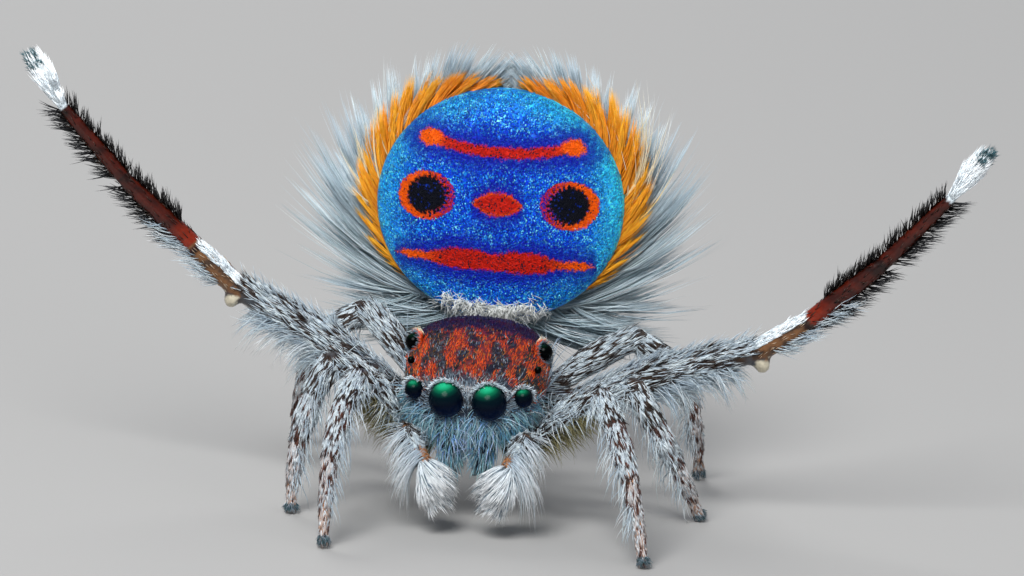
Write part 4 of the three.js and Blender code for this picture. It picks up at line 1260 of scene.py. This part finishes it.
def round_eye(look, angle, sign=1):
    """Ways out from the middle of an eye, at angles from its top."""
    above = HEAD_FRAME[0] @ UP
    top = unit(above - look * (above @ look))
    across = np.cross(look, top) * sign
    return np.outer(np.cos(angle), top) + np.outer(np.sin(angle), across)


def rim_hair(piece, ring, root, lie, look, length, width, colours):
    places = forms["head"].local(root)[:2]
    strands(piece, "head", places, root, lie, look - ring, length, width, RIM_BEND, colours, 2)


def eye_rims():
    """Pale hair round the front eyes, thickest above the two large ones, rooted behind their outline."""
    forward = HEAD_FRAME[0] @ vec(0, -1, 0)
    for side in SIDES.values():
        for eye, count in EYE_RIMS:
            at, radius = EYES[eye]
            look = unit(forward + vec(side * at[0] * 0.5, 0, 0))
            angle = rng.normal(0, 1.15, count)
            ring = round_eye(look, angle)
            back = rng.uniform(0.12, 0.5, count)[:, None]
            root = eye_middle(eye, side) + ring * radius * 0.98 - look * radius * back
            crown = np.clip(np.cos(angle), 0, 1)
            lie = ring + look * (0.35 + 0.35 * crown)[:, None] + rng.normal(0, 0.18, (count, 3))
            length = 0.045 + 0.05 * crown + rng.uniform(0, 0.03, count)
            rim_hair("coat_face", ring, root, lie, look, length, 0.012, (PALE_GREY, WHITE))


def rear_eye_rims():
    """Red and dark scales round each rear eye, and a pale line outside it."""
    at, radius = EYES["eye_rear"]
    for side in SIDES.values():
        look = unit(vec(side, *REAR_EYE_LOOK))
        for count, spread, start, reach, root_tone, tip_tone in REAR_EYE_RIMS:
            ring = round_eye(look, rng.uniform(*spread, count), -side)
            back = (start + rng.uniform(0, 0.35, count))[:, None]
            root = in_head(at, side) + ring * radius * 1.02 - look * radius * back
            lie = ring + look * 0.9 + rng.normal(0, 0.2, (count, 3))
            length = rng.uniform(*reach, count)
            colours = (root_tone, np.minimum(tip_tone, 0.95))
            rim_hair("coat_head", ring, root, lie, look, length, 0.0135, colours)


def facing_front_top(point, t, phi):
    """The narrow band over the eyes."""
    p = from_head(point)
    return (p[:, 1] < OVER_EYES["y"]) & (p[:, 2] > OVER_EYES["z"])


def below_eyes(point, t, phi):
    """The face under and between the front eyes."""
    p = from_head(point)
    return (p[:, 1] < UNDER_EYES["y"]) & (p[:, 2] < UNDER_EYES["z"])


def pale_side_line(point, t, phi):
    """The pale edge along the sides, behind the rear eyes."""
    return np.abs(np.abs(phi) - PALE_LINE["phi"]) < PALE_LINE["half_width"]


def near_top(point, t, phi):
    return np.abs(phi) < NAVY_HALF_WIDTH


def dress_head():
    coat("coat_head", "head", "head", scale_paint)
    coat("coat_head", "head", "over_eyes", white_paint(0.85, 0.8), keep=facing_front_top)
    coat("coat_head", "head", "pale_edge", white_paint(1.1), keep=pale_side_line)
    # long pale hair along its flanks, dimmed to grey as painted shade
    for side in SIDES.values():
        coat("coat_head", "head", "flank", plain_paint(BLUE_GREY * 0.6, PALE_GREY * 1.5),
             phi_range=one_side(side, 1.25, 2.1), lean=vec(side * 0.5, -0.3, 0.5))
    eye_rims()
    rear_eye_rims()
    # navy scales that stand up at the rear of the head
    coat("coat_head", "head", "navy", plain_paint(NAVY, NAVY * 2.5), keep=near_top)
    # fine blue hair that crosses over the face
    for sway in FACE_SWAYS:
        coat("coat_face", "head", "face", face_paint, lean=vec(sway, -0.5, -0.5), keep=below_eyes)
    coat("coat_face", "head", "face_long", plain_paint(FACE_PALE, WHITE), keep=below_eyes)
    for side_name, side in SIDES.items():
        jaw = f"jaw_{side_name}"
        coat("coat_face", jaw, "jaw", face_paint)
        coat("coat_face", jaw, "jaw_long", plain_paint(FACE_BLUE, WHITE), lean=vec(-side * 0.6, -0.6, 0))
        coat("coat_face", jaw, "jaw_tip", face_paint, lean=vec(-side * 0.3, -0.3, -0.3))


def brush_paint(point, t, phi, tuft):
    """Bright white hair, with thin dark strands between that paint the shade among its tufts."""
    tone = mix(WHITE * 1.2, BLUE_GREY * 0.8, rng.random(len(t)) < 0.14)
    return tone * 0.75, np.minimum(tone * 1.1, 0.97)


# The round brush at the end of a feeler: from where to where along it, and how long
PALP_BRUSH = (((0.0, 0.3), (0.27, 0.35)), ((0.3, 0.6), (0.21, 0.27)), ((0.6, 1.0), (0.12, 0.18)))


def dress_palps():
    for side_name, side in SIDES.items():
        outward = vec(side, 0, 0)
        names = {part: f"palp_{part}_{side_name}" for part in PALP_SEGMENTS}
        for part, share in (("femur", 0.30), ("patella", 0.22)):
            coat("coat_palps", names[part], f"palp_{part}", fleck_paint(names[part], share))
        coat("coat_palps", names["tibia"], "palp_tibia", plain_paint(TAN, TAN * 1.4))
        # dark hair at the knee
        coat("coat_palps", names["patella"], "palp_knee", plain_paint(FLECK))
        # the round white brush at the end, which fans out downward
        for zone, reach in PALP_BRUSH:
            coat("coat_palps", names["tarsus"], "palp_brush", brush_paint, length=reach, t_range=zone,
                 lean=DOWN * 0.12 - outward * 0.42)
        # long white hair that arches outward and down beside the feelers
        for part in PALP_SEGMENTS[:3]:
            outer = one_side(forms[names[part]].across @ outward, 0.0, math.pi)
            coat("coat_palps", names[part], f"palp_arch_{part}", plain_paint(PALE_GREY * 1.1, WHITE * 1.2),
                 phi_range=outer, lean=outward * 1.5 + UP * 0.2)


# Coat of the standing legs: part, count, share of flecks, lengths. Their fringe: part, count, lengths.
STANDING_COAT = (
    ("coxa", 500, 0.24, (0.08, 0.13)), ("femur", 1900, 0.34, (0.08, 0.14)),
    ("patella", 1200, 0.34, (0.08, 0.12)), ("tibia", 1700, 0.33, (0.08, 0.12)),
    ("metatarsus", 1250, 0.30, (0.07, 0.11)), ("tarsus", 620, 0.14, (0.06, 0.09)),
)
FOOT_WARMTH = {"tibia": 0.12, "metatarsus": 0.6, "tarsus": 1.0}
STANDING_FRINGE = (
    ("coxa", 80, (0.20, 0.34)), ("femur", 210, (0.22, 0.36)), ("patella", 80, (0.20, 0.32)),
    ("tibia", 130, (0.22, 0.40)), ("metatarsus", 100, (0.18, 0.32)),
)


def dress_standing_leg(name, side_name):
    side = SIDES[side_name]
    piece = f"coat_{name}_{side_name}"
    keys = {part: f"{name}_{part}_{side_name}" for part in SEGMENTS}
    for part, count, share, reach in STANDING_COAT:
        dark = FLECK_BROWN if part in ("coxa", "femur", "patella") else FLECK_RED
        paint = fleck_paint(keys[part], share, dark, FOOT_WARMTH.get(part))
        coat(piece, keys[part], "leg", paint, count=count, length=reach)
    # long pale hair on the inner side
    inward = vec(-side * 0.8, -0.5, -0.2)
    for part, count, reach in STANDING_FRINGE:
        key = keys[part]
        coat(piece, key, "leg_fringe", white_paint(1.1, 0.2), count=count, length=reach,
             keep=facing(key, inward, 0.45), pull=DOWN + forms[key].forward * 0.5, lean=inward * 0.3)
    if name == "leg1":
        for part in ("coxa", "femur"):
            coat(piece, keys[part], "olive", plain_paint(OLIVE, OLIVE * 1.6))
    # the dark claw tuft
    out = forms[keys["tarsus"]].forward * vec(1, 1, 0) + vec(side * 0.2, -0.2, 0)
    for tone, tip in ((TEAL_DARK, TEAL_TIP), (MID_GREY, PALE_GREY)):
        coat(piece, keys["tarsus"], "claw", plain_paint(tone, tip), lean=out * 0.5)


# The raised leg: part and count; then its curved under hair: part, count, lengths, from where to where
RAISED_COAT = (("coxa", 500), ("femur", 3300))
RAISED_FRINGE = (
    ("femur", 420, (0.22, 0.36), (0.10, 0.80)), ("patella", 150, (0.14, 0.24), (0.3, 1.0)),
    ("tibia", 150, (0.18, 0.30), (0.0, 0.45)),
)
COMB_START = {"tibia": 0.30, "metatarsus": 0.02}


def off_knee(point, t, phi):
    """All but the under side of the end of the thigh, where the swelling is bare."""
    return (t < 0.86) | (np.cos(phi) > -0.1)


def dress_raised_leg(side_name):
    piece, combs = f"coat_leg3_{side_name}", f"bristles_leg3_{side_name}"
    keys = {part: f"leg3_{part}_{side_name}" for part in SEGMENTS}
    for part, count in RAISED_COAT:
        coat(piece, keys[part], "raised", fleck_paint(keys[part], 0.33), count=count, keep=off_knee)
    # curved pale hair under the thigh and the knee
    for part, count, reach, zone in RAISED_FRINGE:
        coat(piece, keys[part], "raised_under", white_paint(1.1, 0.25), count=count, length=reach,
             t_range=zone, pull=forms[keys[part]].forward)
    coat(piece, keys["femur"], "thigh_locks", white_paint(1.2, 0.2))
    coat(piece, keys["femur"], "thigh_top", white_paint())
    # the knee: a white stripe of scales along the top, over bare brown
    key = keys["patella"]
    coat(piece, key, "knee_stripe", plain_paint(WHITE * 1.1, WHITE * 1.3),
         keep=facing(key, (0, -0.55, 0.85), 0.72))
    coat(piece, key, "knee_dark", plain_paint(FLECK), keep=facing(key, (0, 0.8, 0.6), 0.80))
    coat(piece, key, "knee_tan", plain_paint(TAN, PALE_SKIN))
    # combs of black bristles along the upper and the under side of the shin
    for part, start in COMB_START.items():
        coat(combs, keys[part], "comb_upper", plain_paint(BRISTLE, BRISTLE * 2), t_range=(start, 1.0))
        coat(combs, keys[part], "comb_under", plain_paint(BRISTLE, MID_GREY * 0.5))
        coat(combs, keys[part], "comb_round", plain_paint(BRISTLE, FLECK_BROWN))
    # the white brush of the last segment, with its dark claw tuft
    key = keys["tarsus"]
    coat(piece, key, "brush", plain_paint(WHITE * 1.25, WHITE * 1.5))
    coat(piece, key, "brush_claw", plain_paint(TEAL_DARK, TEAL_TIP),
         keep=facing(key, (SIDES[side_name], -0.3, 0.2), -0.25))


def dress_abdomen():
    coat("coat_abdomen", "abdomen", "abdomen", white_paint(0.8), lean=UP * 1.3)
    # long hair that hangs from its lower sides
    for side in SIDES.values():
        coat("coat_abdomen", "abdomen", "abdomen_long", plain_paint(FRINGE_SHADE * 0.6, PALE_GREY),
             phi_range=one_side(side, 1.5, 2.9), pull=vec(side, 0, 0.3), lean=vec(side * 0.6, -0.7, -1.2))


# The hair round the fan. Places are degrees from straight up, leans are degrees outward from straight up.
# The skirt is the hair low behind the head: lean of root and tip, and length.
FRINGE_PLACES = (0, 15, 30, 45, 60, 80, 100, 120, 140, 160, 176)
FRINGE_ROOT_LEAN = (-8, -26, -26, -12, 10, 44, 66, 84, 98, 108, 114)
FRINGE_TIP_LEAN = (-30, -58, -50, -32, -8, 2, 12, 24, 36, 46, 56)
FRINGE_LENGTH = (0.28, 0.54, 0.84, 0.97, 1.00, 1.00, 1.12, 1.26, 1.38, 1.42, 1.30)
FRINGE_COUNT = 3900
FRINGE_RANGE = (1, 174)
SKIRT = (140, 84, 1.20)
SKIRT_RANGE = (140, 180)
SKIRT_COUNT = 760
ORANGE_PLACES = (12, 25, 40, 60, 80, 100, 120, 138)
ORANGE_ROOT_LEAN = {"right": (-38, -34, -18, 8, 28, 46, 62, 74), "left": (-30, -24, -8, 16, 34, 50, 64, 80)}
ORANGE_TIP_LEAN = {"right": (-74, -64, -44, -16, 4, 18, 32, 46), "left": (-70, -58, -38, -12, 4, 18, 32, 46)}
ORANGE_LENGTH = {
    "right": (0.26, 0.42, 0.54, 0.60, 0.58, 0.54, 0.47, 0.32),
    "left": (0.26, 0.40, 0.52, 0.60, 0.62, 0.58, 0.48, 0.32),
}
ORANGE_COUNT = 3400

# Tall pale tufts outside the orange: place, lean of root and tip, and length
YELLOW_TUFTS = {
    "left": ((97, 50, -20, 1.05), (84, 44, -24, 0.80), (60, 16, -28, 0.62)),
    "right": ((88, 22, -6, 0.95), (98, 40, 8, 0.85), (72, 14, -14, 0.70)),
}
YELLOW_HAIRS = 26
YELLOW_SPREAD = 0.9
EDGE_TUFTS = {
    "count": 1300, "spread": 11, "most": 27, "share": (0.86, 1.03), "cell": 0.07, "above": 0.004,
    "length": (0.08, 0.16), "width": 0.015, "bend": 0.3,
}
EDGE_COLOURS = (CREAM * 0.3 + WHITE * 0.72, vec(0.97, 0.97, 0.93))


# Round the fan: layers and how each is shifted, the share of stray hairs, how much a tuft and then a hair
# differ in lean, and the most a hair turns
RING_LAYERS = 2.4
LAYER_SHIFT = 0.37
STRAY_SHARE = 0.06
TUFT_LEAN = {"root": 22, "turn": 26}
HAIR_LEAN = {"spread": 2.2, "stray": 4}
MOST_TURN = 64


def turned(lean, side, forward):
    """A direction in the fan's frame that leans outward from straight up by an angle in degrees."""
    a = np.radians(lean)
    flat = np.stack([np.sin(a) * side, np.broadcast_to(forward, a.shape), np.cos(a)], -1)
    return flat @ FAN_FRAME[0].T


def ring_hair(piece, side, place, kind, lean, tip_lean, length):
    """Hair rooted on a ring round the fan, in tufts, that starts along one lean and turns to another."""
    chart, tuft_size, ring, depth, width, colours, gather, steps = RING_KINDS[kind]
    n = len(place)
    layer = np.floor(rng.random(n) * RING_LAYERS)
    cell = np.floor(place / tuft_size + layer * LAYER_SHIFT)
    middle = (cell + 0.25 + 0.5 * hashed(cell, layer, 11) - layer * LAYER_SHIFT) * tuft_size
    stray = (rng.random(n) < STRAY_SHARE) * 1.0
    own = hashed(cell, layer, 12) - 0.5
    loose = rng.normal(0, HAIR_LEAN["spread"], n) * (1 + HAIR_LEAN["stray"] * stray)
    start = np.interp(place, *lean) + TUFT_LEAN["root"] * own + loose
    turn = np.interp(place, *tip_lean) + TUFT_LEAN["turn"] * own - start
    size = np.interp(place, *length) * (0.86 + 0.28 * hashed(cell, layer, 13)) * rng.uniform(0.72, 1.04, n)
    deep = depth[0] + (depth[1] - depth[0]) * (layer + rng.random(n)) / 3

    def on_ring(angle):
        a = np.radians(angle)
        return np.stack([np.sin(a) * ring[0] * side, deep, np.cos(a) * ring[1]], -1)

    local = on_ring(place)
    forward = rng.normal(-0.06, 0.05, n) + 0.12 * (hashed(cell, layer, 14) - 0.5)
    lie = turned(start, side, forward)
    toward = (on_ring(middle) - local) @ FAN_FRAME[0].T
    lie = unit(lie + toward * (gather * (1 - stray) / size)[:, None])
    pull = turned(start + np.sign(turn) * 90, side, 0.0)
    bend = np.tan(np.radians(np.clip(np.abs(turn), 0, MOST_TURN))) / 2
    root = placed(local, FAN_FRAME)
    places = (local[:, 0], local[:, 2])
    if chart != "fan":
        places = forms[chart].local(root)[:2]
    paint = colours(n, hashed(cell, layer, 15), place)
    strands(piece, chart, places, root, lie, pull, size, width, bend, paint, steps)


def fringe_colours(n, tuft, place):
    pale = mix(PALE_GREY, WHITE, np.clip(0.2 + 0.85 * tuft + rng.normal(0, 0.2, n), 0, 1))
    pale = mix(pale, FRINGE_SHADE, rng.random(n) * (0.5 + 0.4 * step(place, 110, 150)))
    return mix(pale, FRINGE_SHADE, 0.75), np.minimum(pale * 1.2, 0.95)


def orange_colours(n, tuft, place):
    low = step(place, 20, 60)
    root = mix(ORANGE, ORANGE_DEEP, np.clip(0.60 - 0.55 * low + 0.8 * rng.random(n), 0, 1))
    return root, mix(ORANGE, YELLOW, np.clip(0.10 + 0.40 * low + 0.60 * tuft + rng.normal(0, 0.2, n), 0, 1))


def yellow_colours(n, tuft, place):
    return mix(YELLOW, TUFT_PALE, rng.random(n)), mix(TUFT_PALE, WHITE, rng.random(n))


# Kinds of hair round the fan: form, degrees of a tuft, half sizes of the ring, depth from and to, width,
# colours, how much a tuft draws together, and pieces of a strand
FRINGE_RING = (0.97, 1.10)
ORANGE_RING = (1.32, 1.225)
RING_KINDS = {
    "fringe": ("abdomen", 6.5, FRINGE_RING, (0.14, 0.44), 0.019, fringe_colours, 1.25, 5),
    "skirt": ("abdomen", 6.5, FRINGE_RING, (0.10, 0.50), 0.018, fringe_colours, 0.6, 5),
    "orange": ("fan", 5.0, ORANGE_RING, (-0.04, 0.12), 0.017, orange_colours, 0.7, 4),
    "yellow": ("fan", 60.0, ORANGE_RING, (0.0, 0.05), 0.019, yellow_colours, 0.6, 6),
}


def level(value):
    """The same value all round the ring."""
    return (0, 180), (value, value)


def dress_fringe():
    for side_name, side in SIDES.items():
        pale, orange = f"fringe_{side_name}", f"fringe_orange_{side_name}"
        place = rng.uniform(*FRINGE_RANGE, FRINGE_COUNT)
        rows = (FRINGE_ROOT_LEAN, FRINGE_TIP_LEAN, FRINGE_LENGTH)
        ring_hair(pale, side, place, "fringe", *((FRINGE_PLACES, row) for row in rows))
        place = rng.uniform(*SKIRT_RANGE, SKIRT_COUNT)
        ring_hair(pale, side, place, "skirt", *map(level, SKIRT))
        place = rng.uniform(ORANGE_PLACES[0], ORANGE_PLACES[-1], ORANGE_COUNT)
        rows = (ORANGE_ROOT_LEAN, ORANGE_TIP_LEAN, ORANGE_LENGTH)
        ring_hair(orange, side, place, "orange", *((ORANGE_PLACES, row[side_name]) for row in rows))
        for middle, *values in YELLOW_TUFTS[side_name]:
            place = middle + rng.normal(0, YELLOW_SPREAD, YELLOW_HAIRS)
            ring_hair(orange, side, place, "yellow", *map(level, values))


def dress_fan_edge():
    """White tufts over the lower edge of the fan."""
    n, most, cell_size = EDGE_TUFTS["count"], EDGE_TUFTS["most"], EDGE_TUFTS["cell"]
    place = np.radians(180 + np.clip(rng.normal(0, EDGE_TUFTS["spread"], n), -most, most))
    x, z = in_fan(place, rng.uniform(*EDGE_TUFTS["share"], n))
    root = placed(np.stack([x, fan_depth(x, z) - EDGE_TUFTS["above"], z], -1), FAN_FRAME)
    cell = np.floor(x / cell_size) + 40 * np.floor(z / cell_size)
    own = [hashed(cell, k, 21) for k in (1, 2, 3)]
    way = np.stack([own[0] - 0.5, -0.1 - 0.3 * own[1], own[2] - 0.5], -1)
    lie = way * vec(2.2, 1, 2.2) + rng.normal(0, 0.35, (n, 3)) * vec(1, 0.3, 1)
    length = rng.uniform(*EDGE_TUFTS["length"], n)
    strands("fringe_edge", "fan", (x, z), root, lie, np.tile(DOWN, (n, 1)), length, EDGE_TUFTS["width"],
            EDGE_TUFTS["bend"], EDGE_COLOURS)


# The eyes: the way their painted green reflection faces, the colours from the dark side to the side with the
# painted reflection, how bright each is
EYE_PAINTED_REFLECTION_WAY = (-0.16, -0.34, 0.927)
EYE_STOPS = (
    (0.0, (0.003, 0.012, 0.055)), (0.58, (0.001, 0.003, 0.010)), (0.80, (0.001, 0.007, 0.010)),
    (0.88, (0.001, 0.036, 0.025)), (0.94, (0.003, 0.130, 0.058)), (1.0, (0.015, 0.42, 0.20)),
)
# how bright each eye is, its painted reflection included
EYE_TONE_WITH_PAINTED_REFLECTION = {"eye_front_middle": 1.0, "eye_front_side": 0.7, "eye_small": 0.05, "eye_rear": 0.03}
EYE_ROWS = 28
EYE_AROUND = 44
EYE_POLE = 0.002


def eye_material():
    """Dark glass, dark blue below, with a painted green reflection above, dimmed by the mesh's own colour.
    """
    material, nodes, links, shader = node_material("eye")
    # painted reflection: the base colour turns green where the surface faces up and a little forward
    toward_reflection = vector_node(nodes, "DOT_PRODUCT")
    toward_reflection.inputs[1].default_value = EYE_PAINTED_REFLECTION_WAY
    links.new(nodes.new("ShaderNodeNewGeometry").outputs["Normal"], toward_reflection.inputs[0])
    spread = nodes.new("ShaderNodeMapRange")
    spread.inputs["From Min"].default_value = -1
    links.new(toward_reflection.outputs["Value"], spread.inputs["Value"])
    ramp = nodes.new("ShaderNodeValToRGB")
    elements = ramp.color_ramp.elements
    for element, (place, colour) in zip(elements, (EYE_STOPS[0], EYE_STOPS[-1])):
        element.position = place
        element.color = (*colour, 1)
    for place, colour in EYE_STOPS[1:-1]:
        elements.new(place).color = (*colour, 1)
    links.new(spread.outputs["Result"], ramp.inputs["Fac"])
    dim = vector_node(nodes, "MULTIPLY")
    links.new(ramp.outputs["Color"], dim.inputs[0])
    links.new(mesh_colour(nodes), dim.inputs[1])
    links.new(dim.outputs["Vector"], shader.inputs["Base Color"])
    set_inputs(shader, {
        "Roughness": 0.2, "Specular IOR Level": 0.05, "Coat Weight": 0.012, "Coat Roughness": 0.03,
    })
    return material


def build_eyes():
    material = eye_material()
    tilt = np.linspace(EYE_POLE, math.pi - EYE_POLE, EYE_ROWS)[:, None]
    phi = np.linspace(0, TAU, EYE_AROUND, endpoint=False)[None]
    ball = np.stack([np.sin(tilt) * np.sin(phi), -np.cos(tilt) + 0 * phi, np.sin(tilt) * np.cos(phi)], -1)
    faces, sizes = tube_faces(EYE_ROWS, EYE_AROUND)
    uv = np.stack([(faces % EYE_AROUND) / EYE_AROUND, (faces // EYE_AROUND) / EYE_ROWS], -1)
    for side_name, side in SIDES.items():
        for name, (at, radius) in EYES.items():
            points = ball.reshape(-1, 3) * radius + eye_middle(name, side)
            colours = np.full((len(points), 3), EYE_TONE_WITH_PAINTED_REFLECTION[name])
            obj = mesh_object(f"{name}_ball_{side_name}", points, faces, sizes, colours, uv, material, "eye")
            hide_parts(f"{name}_{side_name}")


# The stage. Lights: name, place and size in mm, power, and whether shiny surfaces mirror them.
FLOOR_SIZE = 0.6
FLOOR_COLOUR = (0.40, 0.395, 0.385, 1)
FLOOR_ROUGHNESS = 0.9
SKY_COLOUR = (0.82, 0.88, 1.0, 1)
SKY_STRENGTH = 0.28
LIGHT_AIM = (0, 0, 2.2)
LIGHTS = (
    ("key", (-18, -70, 85), 62, 0.135, True),
    ("fill", (70, -60, 30), 60, 0.016, False),
    ("rim", (-30, 60, 60), 50, 0.040, False),
)


def build_stage():
    bpy.ops.mesh.primitive_plane_add(size=FLOOR_SIZE)
    floor = bpy.context.object
    floor.name = "floor"
    material, *_, shader = node_material("floor")
    set_inputs(shader, {"Base Color": FLOOR_COLOUR, "Roughness": FLOOR_ROUGHNESS})
    floor.data.materials.append(material)

    world = bpy.context.scene.world or bpy.data.worlds.new("World")
    bpy.context.scene.world = world
    world.use_nodes = True
    set_inputs(world.node_tree.nodes["Background"], {"Color": SKY_COLOUR, "Strength": SKY_STRENGTH})
    for name, at, size, power, mirrored_in_eyes in LIGHTS:
        lamp = bpy.data.lights.new(name, "AREA")
        lamp.shape = "DISK"
        lamp.size = size * MM
        lamp.energy = power
        holder = bpy.data.objects.new(name, lamp)
        holder.location = Vector(at) * MM
        aim = Vector(LIGHT_AIM) * MM - holder.location
        holder.rotation_euler = aim.to_track_quat("-Z", "Y").to_euler()
        holder.visible_glossy = mirrored_in_eyes
        link(holder)
    bpy.context.scene.view_settings.view_transform = "Standard"


def build_camera():
    a, e, q = CAMERA_AZIMUTH, CAMERA_ELEVATION, CAMERA_ROLL
    back = vec(math.sin(a) * math.cos(e), -math.cos(a) * math.cos(e), math.sin(e))
    right = vec(math.cos(a), math.sin(a), 0)
    up = np.cross(back, right)
    rolled_right = right * math.cos(q) + up * math.sin(q)
    rolled_up = -right * math.sin(q) + up * math.cos(q)
    across = (MIDDLE_PIXEL[0] - FLOOR_PIXEL[0]) * PIXEL
    above = (FLOOR_PIXEL[1] - MIDDLE_PIXEL[1]) * PIXEL
    target = SHIFT + rolled_right * across + rolled_up * above
    place = target + back * CAMERA_DISTANCE
    camera = bpy.data.cameras.new("camera")
    camera.sensor_width = CAMERA_SENSOR
    camera.lens = CAMERA_SENSOR * CAMERA_DISTANCE / (FRAME_WIDTH * PIXEL)
    camera.clip_start, camera.clip_end = CAMERA_CLIP
    holder = bpy.data.objects.new("camera", camera)
    axes = np.stack([rolled_right, rolled_up, back], -1)
    holder.matrix_world = Matrix.Translation(Vector(place * MM)) @ Matrix(axes.tolist()).to_4x4()
    link(holder)
    bpy.context.scene.camera = holder


build_camera()
build_stage()
build_skin()
build_shield()
build_fan_scales()
build_eyes()
dress_head()
dress_palps()
for side_name in SIDES:
    for leg in ("leg1", "leg2", "leg4"):
        dress_standing_leg(leg, side_name)
    dress_raised_leg(side_name)
dress_abdomen()
dress_fringe()
dress_fan_edge()
finish_coats()

bpy.context.view_layer.update()
